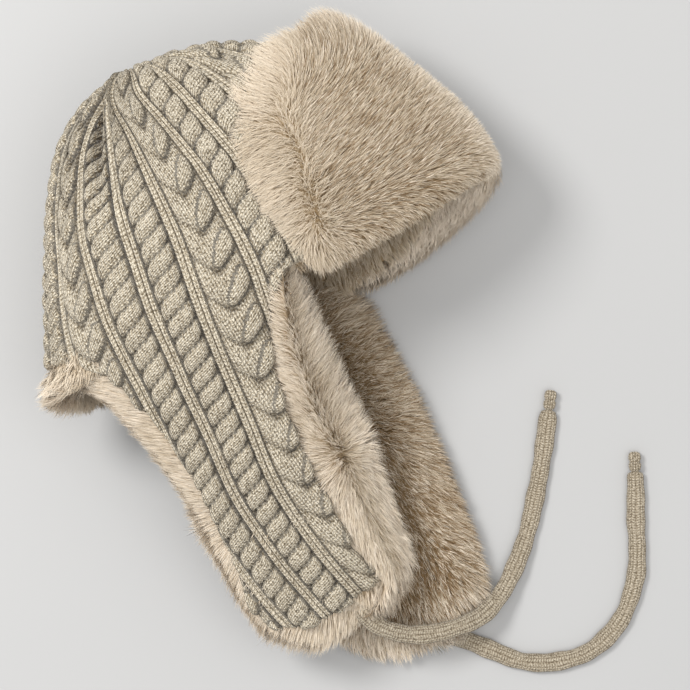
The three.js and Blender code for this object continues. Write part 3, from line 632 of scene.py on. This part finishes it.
def cableRelief(x, along):
    left, right = np.minimum(x + 0.1, 0), np.maximum(x + 0.1, 0)
    arm = np.sqrt((knit["leftRise"] * left) ** 2 + (knit["rightRise"] * right) ** 2 + 0.004) - 0.063
    phase = along / knit["cablePitch"] + arm
    t = phase % 1.0
    side = ease(x, -0.25, 0.35)
    fromTop, fromBase = np.clip(0.66 - t, 0, 1) / 0.38, np.clip(t - 0.66, 0, 1) / 0.32
    fromLeft, fromRight = np.clip(0.34 - x, 0, 2) / 0.84, np.clip(x - 0.34, 0, 1) / 0.64
    dome = np.clip(1 - fromTop**1.8 - fromBase**3 - fromLeft**2 - fromRight**4, 0, 1)
    bulb = 1.08 * dome ** mix(1.0, 0.45, ease(0.6 * x + 0.8 * (t - 0.55), -0.20, 0.22))
    rolled = 0.30 + 0.58 * np.sqrt(np.clip(1 - (2 * t - 1) ** 2, 0, 1))
    edge = np.sqrt(np.clip(1 - x**4, 0, 1))
    bed = edge * mix(rolled, 0.50 + 0.10 * t, side)
    seam = np.maximum(hump(t, 1.0, 0.08), hump(t, 0.0, 0.05))
    pit = hump(x, -0.12, 0.24) * np.maximum(hump(t, 1.0, 0.16), hump(t, 0.0, 0.12))
    high = np.maximum(bed, bulb) * (1 - 0.85 * pit) * (1 - mix(0.45, 0.75, side) * edge * seam)
    reach = x * knit["cableReach"]
    inBulb = (bulb > bed) & (t > 0.3)
    column = np.where(inBulb, (t - 0.37) * knit["bulbStitches"], (reach - 0.12 * along) / knit["stitchWidth"])
    row = np.where(inBulb, reach * 1.3, along + 0.5 * reach) / knit["stitchLength"]
    return high, column, row


def ribRelief(x, along):
    chain = np.sqrt(np.clip(1 - (2.15 * np.abs(np.abs(x) - 0.5)) ** 2, 0, 1))
    return chain, x + 1, along / knit["ribStitch"]


# The grid's lines round the bag: their place, how far across their column, and which column
def knitColumns():
    place, across, column, kinds = [], [], [], []
    repeatWidth = sum(width for _, width in knit["columns"])
    low, high = knit["plainer"]
    for repeat in range(knit["repeats"]):
        start = -knit["columns"][0][1] / 2
        for kind, width in knit["columns"]:
            def placeAt(share):
                return knit["firstCable"] + (repeat + (start + width * share) / repeatWidth) / knit["repeats"]

            centre = placeAt(0.5)
            steps = knit["steps"][kind] // (2 if low < centre % 1.0 < high else 1)
            for k in range(steps):
                place.append(placeAt(k / steps))
                across.append(2 * k / steps - 1)
                column.append(len(kinds))
            kinds.append((kind, centre))
            start += width
    return np.array(place + [place[0] + 1]), np.array(across + [-1]), np.array(column + [0]), kinds


def makeKnit():
    place, across, column, kinds = knitColumns()
    coarse = np.linspace(0, len(bag["sections"]) - 1, 521)
    middles = np.stack([onBag(shareOf(np.full_like(coarse, s), coarse), coarse) for s in knit["measuredAt"]])
    way = np.r_[0, np.cumsum(np.linalg.norm(np.diff(middles, axis=1), axis=2).mean(0))]
    rows = np.interp(np.linspace(0, way[-1], knit["rowCount"]), way, coarse)

    centres = np.array([centre for _, centre in kinds])
    lines = onBag(shareOf(centres[None], rows[:, None]), rows[:, None])
    lengths = np.vstack([np.zeros(len(kinds)), np.cumsum(np.linalg.norm(np.diff(lines, axis=0), axis=2), 0)])

    row = np.broadcast_to(rows[:, None], (len(rows), len(place)))
    x = np.broadcast_to(across, row.shape)
    low, high, slower = knit["frontRopes"]
    paces = np.array([slower if kind == "rope" and low < centre < high else 1.0 for kind, centre in kinds])
    along = (lengths * paces)[:, column]
    relief, height, stitchU, stitchV = (np.zeros(row.shape) for _ in range(4))
    for kind, shape in (("cable", cableRelief), ("rope", ropeRelief), ("rib", ribRelief)):
        here = np.array([kinds[c][0] == kind for c in column])
        number = column[here] * 0.618
        raised, u, v = shape(x[:, here], along[:, here] + (number % 1.0) * 0.011)
        relief[:, here] = raised * knit["heights"][kind]
        height[:, here], stitchU[:, here], stitchV[:, here] = raised, u, v
    share = shareOf(place[None], row)
    fold = tuckAt(share, row)
    least, gatherRow = knit["gather"]
    gather = mix(least, 1.0, ease(row, 0, gatherRow))
    smoothPlace = onBag(share, row)
    sag = knit["sag"] * wander(smoothPlace, knit["sagSize"], 5)
    offset = knit["ground"] + relief * gather + fold + sag

    flat = smoothPlace.reshape(-1, 3)
    right, left = (insideOutline(flat[:, :2], knitOutline(side)) for side in ("right", "left"))
    inside = np.where(flat[:, 2] > flaps["splitHeight"], right, left).reshape(row.shape)
    # at the front the knit ends under the brim
    under = knit["underBrim"]
    front = hump(share % 1, 0.5, under["width"])
    lastRow = under["lastRow"] - under["rise"] * ease(front, under["from"], under["to"])
    inside = np.where(front > under["from"], np.minimum(inside, (lastRow - row) * under["rowLength"]), inside)
    edge = 1 - np.clip(inside / knit["edgeRound"], 0, 1)
    offset = offset - knit["edgeDrop"] * (1 - np.sqrt(np.clip(1 - edge**2, 0, 1)))
    points = onBag(share, row, offset)
    points[..., 2] = np.maximum(points[..., 2], knit["lowest"])
    points[0] = points[0].mean(0)

    # painted shade: the relief attribute, which sets the shade painted into the hollows, is lowered where the
    # pleat dips, so its valley is painted darker
    shaded = height - knit["tuck"]["shade"] * np.clip(-fold / knit["tuck"]["dip"], 0, 1)
    stitches, relief = np.stack([stitchU, stitchV], -1), np.stack([shaded, along / knit["dotLength"]], -1)
    piece = gridPiece("knitShell", points, {"stitches": stitches, "relief": relief})
    deleteFaces(piece, inside.ravel()[cornerVertices(piece.data).reshape(-1, 4)].max(1) < 0)
    closeSeams(piece)
    finishPiece(piece, knitFinish("oatmealKnit", knit["look"]), "knit", "knit_shell")


makeKnit()


# What all the fur shares where a piece says nothing else; along is how far up a strand its five corners are
pile = {
    "lengths": (0.75, 1.15), "widths": (0.7, 1.2), "bendWidth": 0.85, "pulls": (0.5, 1), "bendPull": 0.35,
    "along": [0, 0, 0.5, 0.5, 1], "tones": (0.02, 0.98), "glint": 0.5, "skyward": 0.6, "lowest": 0.0003,
}


# Fur: a closed core with tufts on it. The core is a grid of places, closed across, with fields over it
def makeFur(name, core, fur, slot, node):
    fur = {**pile, **fur}
    rng = np.random.default_rng(fur["seed"])
    strands, points = fur["strands"], core["points"]
    normals = unit(np.cross(np.roll(points, -1, 1) - np.roll(points, 1, 1), np.gradient(points, axis=0)))
    if ((points - points.mean(1, keepdims=True)) * normals).sum() < 0:
        normals = -normals
    rows, columns = points.shape[:2]
    nextPoints = np.roll(points, -1, 1)
    diagonal = nextPoints[1:] - points[:-1], points[1:] - nextPoints[:-1]
    area = np.linalg.norm(np.cross(*diagonal), axis=-1) / 2
    density = (core["density"][1:] + core["density"][:-1]) / 2
    chance = (area * density).ravel()
    cells = rng.choice(chance.size, strands, p=chance / chance.sum())
    r, c = np.divmod(cells, columns)
    a, b = rng.random((2, strands, 1))
    d = (c + 1) % columns

    def read(field):
        if field.ndim == 2:
            field = field[..., None]
        return mix(mix(field[r, c], field[r, d], a), mix(field[r + 1, c], field[r + 1, d], a), b)

    root, normal, comb = read(points), unit(read(normals)), read(core["comb"])
    length = read(core["length"]) * rng.uniform(*fur["lengths"], (strands, 1))
    tone = read(core["tone"])

    tufts = rng.choice(strands, strands // fur["perTuft"], replace=False)
    tree = kdtree.KDTree(len(tufts))
    for k, t in enumerate(tufts):
        tree.insert(root[t], k)
    tree.balance()
    tuft = np.array([tree.find(p)[1] for p in root])
    sway = rng.normal(size=(len(tufts), 3))[tuft] * fur["tuftSway"]
    toneShift = rng.normal(size=(len(tufts), 1))[tuft] * fur["tuftTone"]

    waves = np.stack([wander(root, fur["waveSize"], fur["seed"] + 20 + k) for k in range(3)], -1)
    sway = sway + fur["wave"] * waves
    flat = comb - (comb * normal).sum(1, keepdims=True) * normal
    lift = read(core["lift"]) if "lift" in core else fur["lift"]
    first = unit(normal * lift + flat * 0.8 + sway + rng.normal(size=root.shape) * fur["stray"])
    last = unit(normal * lift * 0.35 + flat * 1.2 + sway + rng.normal(size=root.shape) * fur["stray"])
    bend = root + first * length * 0.5
    tip = bend + last * length * 0.5
    pull = fur["clump"] * rng.uniform(*fur["pulls"], (strands, 1))
    tip = mix(tip, tip[tufts][tuft], pull)
    bend = mix(bend, bend[tufts][tuft], pull * fur["bendPull"])
    for place in (tip, bend):
        place[:, 2] = np.maximum(place[:, 2], fur["lowest"])

    heading = unit(tip - root)
    sideways = unit(np.cross(heading, normal))
    half = fur["width"] / 2 * rng.uniform(*fur["widths"], (strands, 1))
    side, bendSide = sideways * half, sideways * half * fur["bendWidth"]
    corners = np.stack([root - side, root + side, bend + bendSide, bend - bendSide, tip], 1)
    outward = unit(normal - heading * (normal * heading).sum(1, keepdims=True) * 0.6)
    spread = read(core["spread"]) if "spread" in core else 1.0
    tilt = rng.normal(size=(strands, 1)) * fur["glint"] * spread
    facing = unit(outward + sideways * tilt + np.array([0, 0, fur["skyward"]]))

    # the faces: a quad and a triangle to a strand, then the core's quads and its two end caps
    flatPoints, flatNormals = points.reshape(-1, 3), normals.reshape(-1, 3)
    index = np.arange(rows * columns).reshape(rows, columns)
    onward = np.roll(index, -1, 1)
    quads = np.stack([index[:-1], onward[:-1], onward[1:], index[1:]], -1).reshape(-1, 4)
    first, second, _, fourth = flatPoints[quads.T]
    caps = [index[0], index[-1][::-1]]
    if (np.cross(second - first, fourth - first) * flatNormals[quads[:, 0]]).sum() < 0:
        quads, caps = quads[:, ::-1], [cap[::-1] for cap in caps]
    coreLoops = np.concatenate([quads.ravel(), *caps]) + strands * 5
    start = np.arange(strands)[:, None] * 5
    loops = np.concatenate([(start + [0, 1, 2, 3]).ravel(), (start + [3, 2, 4]).ravel(), coreLoops])
    sizes = np.repeat([4, 3, 4, columns], [strands, strands, len(quads), 2])
    places = np.vstack([corners.reshape(-1, 3), flatPoints])
    facings = np.vstack([np.repeat(facing, 5, 0), flatNormals])

    shade = np.clip(tone + (toneShift + rng.normal(size=tone.shape) * fur["strandTone"]) * spread, *fur["tones"])
    uvStrand = np.stack([np.repeat(shade, 5, 1), np.broadcast_to(fur["along"], (strands, 5))], -1)
    uvStrand[:, [0, 3], 0] -= 0.004  # so that no strand is a bare line in the map
    coreTone = np.clip(core["tone"] + 0.02 * wander(points, 0.01, 3), *fur["tones"])
    uvCore = np.stack([coreTone, 0.06 + 0.03 * wander(points, 0.008, 4)], -1)
    uvs = np.vstack([uvStrand.reshape(-1, 2), uvCore.reshape(-1, 2)])

    mesh = bpy.data.meshes.new(name)
    mesh.vertices.add(len(places))
    mesh.vertices.foreach_set("co", places.ravel())
    mesh.loops.add(len(loops))
    mesh.loops.foreach_set("vertex_index", loops)
    mesh.polygons.add(len(sizes))
    mesh.polygons.foreach_set("loop_start", np.r_[0, np.cumsum(sizes)[:-1]])
    mesh.update(calc_edges=True)
    mesh.uv_layers.new(name="OFBake").data.foreach_set("uv", uvs[loops].ravel())
    piece = bpy.data.objects.new(name, mesh)
    bpy.context.scene.collection.objects.link(piece)
    finishPiece(piece, plush, slot, node)
    mesh.normals_split_custom_set_from_vertices(facings)


furLook = {
    "roughness": 0.75, "sheen": 0.25, "rootShare": 0.05, "fade": 0.8,
    "root": [(0.0, (0.068, 0.035, 0.011)), (0.5, (0.38, 0.270, 0.145)), (1.0, (0.66, 0.53, 0.39))],
    "tip": [(0.0, (0.28, 0.166, 0.066)), (0.5, (0.71, 0.615, 0.48)), (1.0, (0.95, 0.855, 0.72))],
}
plush = furFinish("plush", furLook)


# The brim: its outer face by height, in half ellipses from the right end round the front
brim = {
    "levels": np.array([  # height, end, front, top, base
        [0.00, 0.009, 0.122, 0.113, 0.007],
        [0.15, 0.006, 0.133, 0.122, 0.000],
        [0.45, 0.000, 0.121, 0.130, 0.000],
        [0.75, 0.002, 0.101, 0.125, 0.003],
        [1.00, 0.009, 0.081, 0.113, 0.015],
    ]),
    "bottom": (0.024, 0.040), "top": (0.143, 0.173),  # the heights of its edges at its ends, and at the front
    "thickness": 0.024, "pile": 0.0055, "stations": 90, "around": 56, "low": 0.115, "high": 0.985,
    "tallRoundness": 3.2, "thickRoundness": 2.6, "span": 0.955, "endFrom": 0.455, "endLength": 0.045,
    "cornerRise": 0.009, "endBulge": 0.005,
    "rimUp": (0.72, 0.97), "rimLow": (0.10, 0.34), "farHalf": (0.52, 0.62), "pileLength": (0.0088, 0.0155),
    "parting": [(0.2, 0.035), (0.5, 0.080), (0.8, 0.105), (0.9, 0.18), (1.0, 0.27)], "partingWidth": 0.055,
    "fur": {
        "seed": 41, "strands": 61000, "perTuft": 4, "tuftSway": 0.05, "tuftTone": 0.05, "strandTone": 0.22,
        "wave": 0.04, "waveSize": 0.05, "lift": 0.58, "stray": 0.11, "clump": 0.12, "width": 0.00040,
    },
}


def brimPoint(turn, height, depth):
    end, front, top, base = (np.interp(height, brim["levels"][:, 0], brim["levels"][:, k]) for k in range(1, 5))
    angle = math.pi * (0.5 - turn)
    half, out = (top - base) / 2, front - end
    nx, nz = np.cos(angle) * half, np.sin(angle) * out
    size = np.hypot(nx, nz)
    nx, nz = nx / size, nz / size
    forward = np.cos(angle) ** 2
    x = end + out * np.cos(angle) - nx * depth
    z = (top + base) / 2 + half * np.sin(angle) - nz * depth
    return lean(x, mix(mix(*brim["bottom"], forward), mix(*brim["top"], forward), height), z)


def makeBrim():
    turn = np.linspace(0, 1, brim["stations"])[:, None]
    section = np.linspace(0, full, brim["around"], endpoint=False)[None]
    # a rounded flat section: height along it, depth through it
    tall = roundPower(np.cos(section), brim["tallRoundness"])
    thick = roundPower(np.sin(section), brim["thickRoundness"])
    ends = ((np.abs(turn - 0.5) - brim["endFrom"]) / brim["endLength"]).clip(0, 1)
    ends = np.sqrt(np.clip(1 - ends**2, 0.02, 1))
    inset = brim["pile"]
    middleHeight, halfHeight = (brim["high"] + brim["low"]) / 2, (brim["high"] - brim["low"]) / 2
    height = middleHeight - tall * halfHeight * mix(0.95, 1, ends)
    middle = brim["thickness"] / 2 + inset * 0.35
    depth = middle - thick * (brim["thickness"] / 2 - inset * 0.65) * ends
    grown = 0.5 + (turn - 0.5) * brim["span"]
    points = brimPoint(np.broadcast_to(grown, height.shape), height, depth)
    ahead = unit(brimPoint(grown + 0.01 + 0 * height, height, depth) - points)
    up = unit(brimPoint(grown + 0 * height, height + 0.01, depth) - points)
    points[..., 1] += brim["cornerRise"] * hump(turn, 0.15, 0.11) * ease(height, 0.55, 1.0)
    points[..., 0] -= brim["endBulge"] * hump(turn, 0.0, 0.08) * ease(height, 0.35, 0.75)
    outer = ease(thick + 0 * turn, -0.5, 0.3)
    places, turns = zip(*brim["parting"])
    parting = np.interp(height, places, turns) + 0.012 * wander(points, 0.03, 14)
    nearEnd = 1 - ease(turn, parting - brim["partingWidth"], parting + brim["partingWidth"])
    farHalf = ease(turn, *brim["farHalf"]) + 0 * height
    rimUp = ease(height, *brim["rimUp"])
    rimLow = 1 - ease(height, *brim["rimLow"])
    corner = (1 - ease(turn, 0.10, 0.34)) * rimUp
    onward = 0.9 * (1 - 1.9 * nearEnd) * (1 - 0.6 * rimUp) * (1 - 0.7 * farHalf) - 0.12 * corner
    onward = onward * (1 - 0.75 * rimLow * (1 - ease(turn, 0.15, 0.40)))
    upward = (0.20 + 0.9 * rimUp - 0.75 * rimLow - 0.25 * nearEnd * (1 - rimUp)) * (1 - farHalf) - 0.7 * farHalf
    comb = (ahead * onward[..., None] + up * upward[..., None]) * mix(0.3, 1.0, outer)[..., None]
    length = mix(*brim["pileLength"], rimUp) * mix(1, 0.80, rimLow * (1 - farHalf)) * mix(0.6, 1, outer)
    length = length * (1 + 0.5 * farHalf * rimLow) + 0.003 * nearEnd
    low = (height < 0.45) & (turn > 0.2)
    density = np.where(low, 0.8, mix(0.12, 1.0, outer)) * mix(1.0, 0.6, farHalf) + 1.0 * rimLow * farHalf
    tone = 0.35 + 0.12 * rimUp + 0.25 * nearEnd + 0.05 * wander(points, 0.03, 8)
    # painted light: the far half is painted lighter towards its lower edge, to lift the shade it lies in below
    # the crease
    tone = tone + farHalf * (0.70 * (1 - ease(height, 0.14, 0.36)) + 0.02) + 0.46 * hump(turn, 0.46, 0.08)
    lift = brim["fur"]["lift"] + 0.7 * hump(turn, 0.47, 0.10) + 0 * height
    core = {
        "points": points, "comb": comb, "length": length, "density": density, "tone": tone, "lift": lift,
        "spread": 1 - 0.72 * nearEnd,
    }
    makeFur("brimPlush", core, brim["fur"], "brim_fur", "brim")


makeBrim()


# The height of the bag's upper side above a place on the table, found in a few rounds, because the bag leans
def rightHeight(x, y):
    table = bag["sections"][::-1]
    z = np.full(np.broadcast(x, y).shape, bag["leanHeight"])
    for _ in range(6):
        flatX = x - bag["leanForward"] * (bag["leanHeight"] - z)
        flatY = y + bag["leanDown"] * (bag["leanHeight"] - z)
        back, front, top, base = (np.interp(flatY, table[:, 0], table[:, k]) for k in (1, 2, 3, 4))
        across = np.clip(np.abs((2 * flatX - back - front) / (front - back)), 0, 0.98)
        rise = np.sqrt(1 - across**2)
        z = (top + base) / 2 + (top - base) / 2 * rise - archDrop(flatX, flatY, (1 + rise) / 2)
    return z


rightFur = {
    "profile": [  # share, top, bottom
        (0.0, -0.007, -0.011), (0.1, -0.001, -0.016), (0.5, -0.001, -0.019), (0.98, -0.001, -0.019),
        (1.15, 0.005, -0.019), (1.45, 0.007, -0.018), (1.8, 0.002, -0.015), (2.0, -0.007, -0.011),
    ],
    "stations": 100, "from": 0.054, "to": -0.150, "inset": 0.006, "frontInset": 0.013, "length": 0.0115,
    "fur": {
        "seed": 52, "strands": 58000, "perTuft": 6, "tuftSway": 0.10, "tuftTone": 0.07, "strandTone": 0.16,
        "wave": 0.08, "waveSize": 0.03, "lift": 0.56, "stray": 0.09, "clump": 0.2, "width": 0.00040,
    },
}
leftFur = {
    "profile": [
        (0.0, 0.011, 0.005), (0.12, 0.018, 0.001), (0.55, 0.021, 0.001), (1.0, 0.022, 0.001),
        (1.5, 0.022, 0.001), (1.8, 0.018, 0.002), (2.0, 0.011, 0.005),
    ],
    "stations": 100, "from": 0.036, "to": -0.181, "inset": 0.006, "frontInset": 0.009, "length": 0.0085,
    "fur": {
        "seed": 63, "strands": 58000, "perTuft": 5, "tuftSway": 0.17, "tuftTone": 0.10, "strandTone": 0.30,
        "wave": 0.16, "waveSize": 0.03, "lift": 1.0, "stray": 0.22, "clump": 0.2, "width": 0.00044,
    },
}


# The core of a flap's fur: out is 0 at its rear edge, 1 at the knit's front edge and 2 at its own front edge
def flapCore(side, settings, ground):
    profile = np.array(settings["profile"])
    y = np.linspace(settings["from"], settings["to"], settings["stations"])[:, None]
    half = flaps["halfAround"]
    out = np.concatenate([np.linspace(0, 2, half), np.linspace(2, 0, half)[1:-1]])[None]
    upper = np.r_[np.ones(half), np.zeros(half - 2)][None]
    ends = np.clip((y - settings["to"]) / flaps["endLength"], 0, 1)
    ends = np.sqrt(np.clip(1 - (1 - ends) ** 2, 0.01, 1))
    inset = settings["inset"]
    rows = np.array([[row[0], row[1], row[3], row[4]] for row in flaps[side]["rows"]])[::-1]
    rear, middle, front = (np.interp(y, rows[:, 0], rows[:, k]) for k in (1, 2, 3))
    rear, front = rear + inset, front - settings["frontInset"]
    centre, width = (rear + front) / 2, mix(flaps["endWidth"], 1, ends)
    rear, front = mix(centre, rear, width), mix(centre, front, width)
    middle = np.clip(middle, rear + 0.002, front - 0.002)
    x = np.where(out < 1, mix(rear, middle, out), mix(middle, front, out - 1))
    top = np.interp(out, profile[:, 0], profile[:, 1]) - inset
    bottom = np.interp(out, profile[:, 0], profile[:, 2]) + inset * 0.6
    halfThick = np.maximum((top - bottom) / 2, 0.0015) * ends
    z = ground(x, y) + (top + bottom) / 2 + np.where(upper > 0, halfThick, -halfThick)
    points = np.stack(np.broadcast_arrays(x, y, np.maximum(z, flaps["lowest"])), -1) - tablePoint
    out = out + 0 * y
    rim = np.maximum(ease(out, 1.75, 2.0), 1 - ease(out, 0.0, 0.12))
    return points, out, upper + 0 * y, y + 0 * out, rim


def growFlap(side, settings, points, sideways, lengthways, **core):
    core["points"] = points
    core["comb"] = np.stack([sideways, lengthways, np.zeros_like(sideways)], -1)
    makeFur(side + "FlapPlush", core, settings["fur"], "flap_fur", side + "_flap_fur")


def makeRightFur():
    points, out, upper, y, rim = flapCore("right", rightFur, rightHeight)
    # the pile parts along the roll, and turns down below the middle of the flap
    ahead, rising = ease(out, 1.50, 1.68), ease(y, -0.085, -0.035)
    tail = 1 - ease(y, -0.148, -0.120)
    sideways = mix(mix(-0.30, -0.48, rising), mix(0.50, 0.94, rising), ahead) * (1 - 0.6 * tail)
    sideways = sideways - 0.9 * np.clip(1 - out, 0, 1) - 2.0 * rising * (1 - rising) * (1 - ahead)
    lengthways = mix(mix(-0.90, 0.80, rising), mix(-0.86, 0.34, rising), ahead) - 0.4 * tail
    hidden = (out > 0.14) & (out < 0.90) & (upper > 0)
    density = np.where(upper > 0, 1.0, 0.35) + 0.5 * rim + 1.6 * (1 - ease(out, 0.0, 0.10))
    density = np.where(hidden & (tail < 0.5), 0.02, density)
    length = rightFur["length"] + 0.003 * rim + 0.002 * tail - 0.004 * hump(out, 1.05, 0.18)
    # short where the tie comes out
    band, _ = alongRoute(ties["right"]["route"][:7], 0.005)
    gap = np.linalg.norm(points[..., None, :2] - band[:, :2], axis=-1).min(-1)
    length = length * (1 - 0.72 * hump(gap, 0, ties["width"]))
    tone = 0.70 + 0.12 * ease(out, 1.66, 1.9) - 0.22 * hump(out, 1.58, 0.09) + 0.11 * wander(points, 0.025, 9)
    tone = tone - 0.1 * (upper < 0.5)
    growFlap("right", rightFur, points, sideways, lengthways, length=length, density=density, tone=tone)


def makeLeftFur():
    points, out, upper, y, rim = flapCore("left", leftFur, lambda x, y: 0 * x)
    tail = 1 - ease(y, -0.175, -0.140)
    sideways = np.clip((out - 0.9) * 1.1, -0.8, 1.0) * (1 - 0.6 * tail)
    lengthways = -1.15 * (1 - ease(y, -0.120, -0.010)) - 0.3 * tail
    density = np.where(upper > 0, 1.0, 0.12) + 0.5 * rim
    density = density * mix(0.5, 1, ease(out, 0.5, 1.0))
    length = leftFur["length"] + (0.0055 + 0.006 * ease(y, -0.01, 0.015)) * ease(out, 1.4, 1.9) + 0.003 * tail
    # painted shadow: the pile's tone is low beside the right flap's roll, where that flap shades it, and rises
    # towards the outer edge, the rear edge and the lower end; the speckle there is the fur's own
    tone = 0.01 + 0.30 * ease(out, 1.12, 1.80) + 0.40 * tail + 0.08 * wander(points, 0.03, 10)
    tone = tone + 0.35 * (1 - ease(y, -0.182, -0.166)) + 0.5 * (1 - ease(out, 0.2, 0.6))
    spread = mix(1.35, 0.8, ease(out, 1.2, 1.9))
    growFlap("left", leftFur, points, sideways, lengthways,
             length=length, density=density, tone=tone, spread=spread)


makeRightFur()
makeLeftFur()


# The crown's lining: a bag inside the knit, its pile pointing in
lining = {
    "outer": -0.0062, "thickness": 0.004, "rows": 70, "around": 120, "lowest": (0.0045, 0.0085),
    "firstRow": 0.45, "lastRow": 7.4, "frontRise": 0.6, "frontWidth": 0.10, "back": 0.03, "backWidth": 0.06,
    "pleat": 1.3, "flare": 0.005, "flareRows": (6.6, 7.2), "hemRows": (6.8, 7.2), "rimRows": (0.85, 0.4),
    "length": 0.007, "hemLength": 0.007, "rimLength": 0.001,
    "fur": {
        "seed": 74, "strands": 38000, "perTuft": 12, "tuftSway": 0.15, "tuftTone": 0.06, "strandTone": 0.07,
        "wave": 0.1, "waveSize": 0.04, "lift": 0.8, "stray": 0.12, "clump": 0.3, "width": 0.0006,
        "glint": 0.35, "skyward": 0.35,
    },
}


def makeLining():
    share = np.linspace(0, 1, lining["around"], endpoint=False)[None]
    lastRow = lining["lastRow"] - lining["frontRise"] * hump(share, 0.5, lining["frontWidth"])
    rows = mix(lining["firstRow"], lastRow, np.linspace(0, 1, lining["rows"])[:, None])
    # the pile rolls out over the hem at the back
    back = hump((share + 0.5) % 1 - 0.5, lining["back"], lining["backWidth"])
    flare = lining["flare"] * back * ease(rows, *lining["flareRows"])
    fold = lining["pleat"] * np.minimum(tuckAt(share, rows), 0) + flare
    outer = onBag(share, rows, lining["outer"] + fold)
    inner = onBag(share, rows, lining["outer"] - lining["thickness"] + fold)
    for wall, lowest in zip((outer, inner), lining["lowest"]):
        wall[..., 2] = np.maximum(wall[..., 2], lowest)
    points = np.vstack([inner, outer[::-1]])
    inward = np.r_[np.ones(len(inner)), np.zeros(len(outer))][:, None] + 0 * share
    allRows = np.vstack([rows, rows[::-1]])
    hem = back * ease(allRows, *lining["hemRows"])
    rim = ease(allRows, *(lastRow - above for above in lining["rimRows"]))
    aside = unit((points - points.mean(1, keepdims=True)) * [1, 0, 1])
    comb = np.array([0, -0.5, 0]) + hem[..., None] * (aside * 1.4 + [0, 0.4, 0])
    core = {
        "points": points, "comb": comb - (rim - hem)[..., None] * [0, 0.6, 0],
        "length": lining["length"] + lining["hemLength"] * hem + lining["rimLength"] * rim,
        "density": 0.001 + 0.6 * inward + 2.5 * hem + 2.5 * rim,
        "lift": mix(0.12, lining["fur"]["lift"], np.maximum(inward, back)),
        "tone": 0.42 + 0.38 * hem + 0.06 * wander(points, 0.03, 12),
    }
    makeFur("crownLining", core, lining["fur"], "lining_fur", "crown_lining")


makeLining()


# The table, and soft light from the upper left of the picture
stage = {
    "floor": 3.0, "floorDrop": 0.0004, "grainScale": 6,
    "floorColour": (0.486, 0.482, 0.474), "floorGrain": (0.470, 0.466, 0.458), "aim": (0.04, -0.05, 0.05),
    "key": {"place": (-0.55, 0.85, 1.45), "size": 0.6, "power": 23.0},
    "fill": {"place": (0.3, -0.3, 2.0), "size": 2.2, "power": 17.0},
    "sky": (0.985, 0.99, 1.0), "skyStrength": 0.68,
}


def makeFloor():
    bpy.ops.object.select_all(action="DESELECT")
    bpy.ops.mesh.primitive_plane_add(size=stage["floor"], location=(0, 0, -stage["floorDrop"]))
    floor = bpy.context.object
    floor.name = "table"
    finish = Finish("paleTable", roughness=0.8)
    grain = finish.noise(stage["grainScale"], 3.0, 0.5)
    finish.colour(finish.blend(grain, (*stage["floorColour"], 1), (*stage["floorGrain"], 1)))
    floor.data.materials.append(finish.material)


def makeLight(name, settings):
    bpy.ops.object.light_add(type="AREA", location=settings["place"])
    light = bpy.context.object
    light.name = name
    light.data.shape = "DISK"
    light.data.size = settings["size"]
    light.data.energy = settings["power"]
    x, y, z = np.array(stage["aim"]) - settings["place"]
    light.rotation_euler = (math.atan2(math.hypot(x, y), -z), 0, math.atan2(y, x) - math.pi / 2)


makeFloor()
makeLight("key", stage["key"])
makeLight("fill", stage["fill"])
world = bpy.data.worlds.new("studio")
world.use_nodes = True
background = world.node_tree.nodes["Background"]
background.inputs["Color"].default_value = (*stage["sky"], 1)
background.inputs["Strength"].default_value = stage["skyStrength"]
bpy.context.scene.world = world
bpy.context.scene.view_settings.view_transform = "Standard"
print("stage ready")
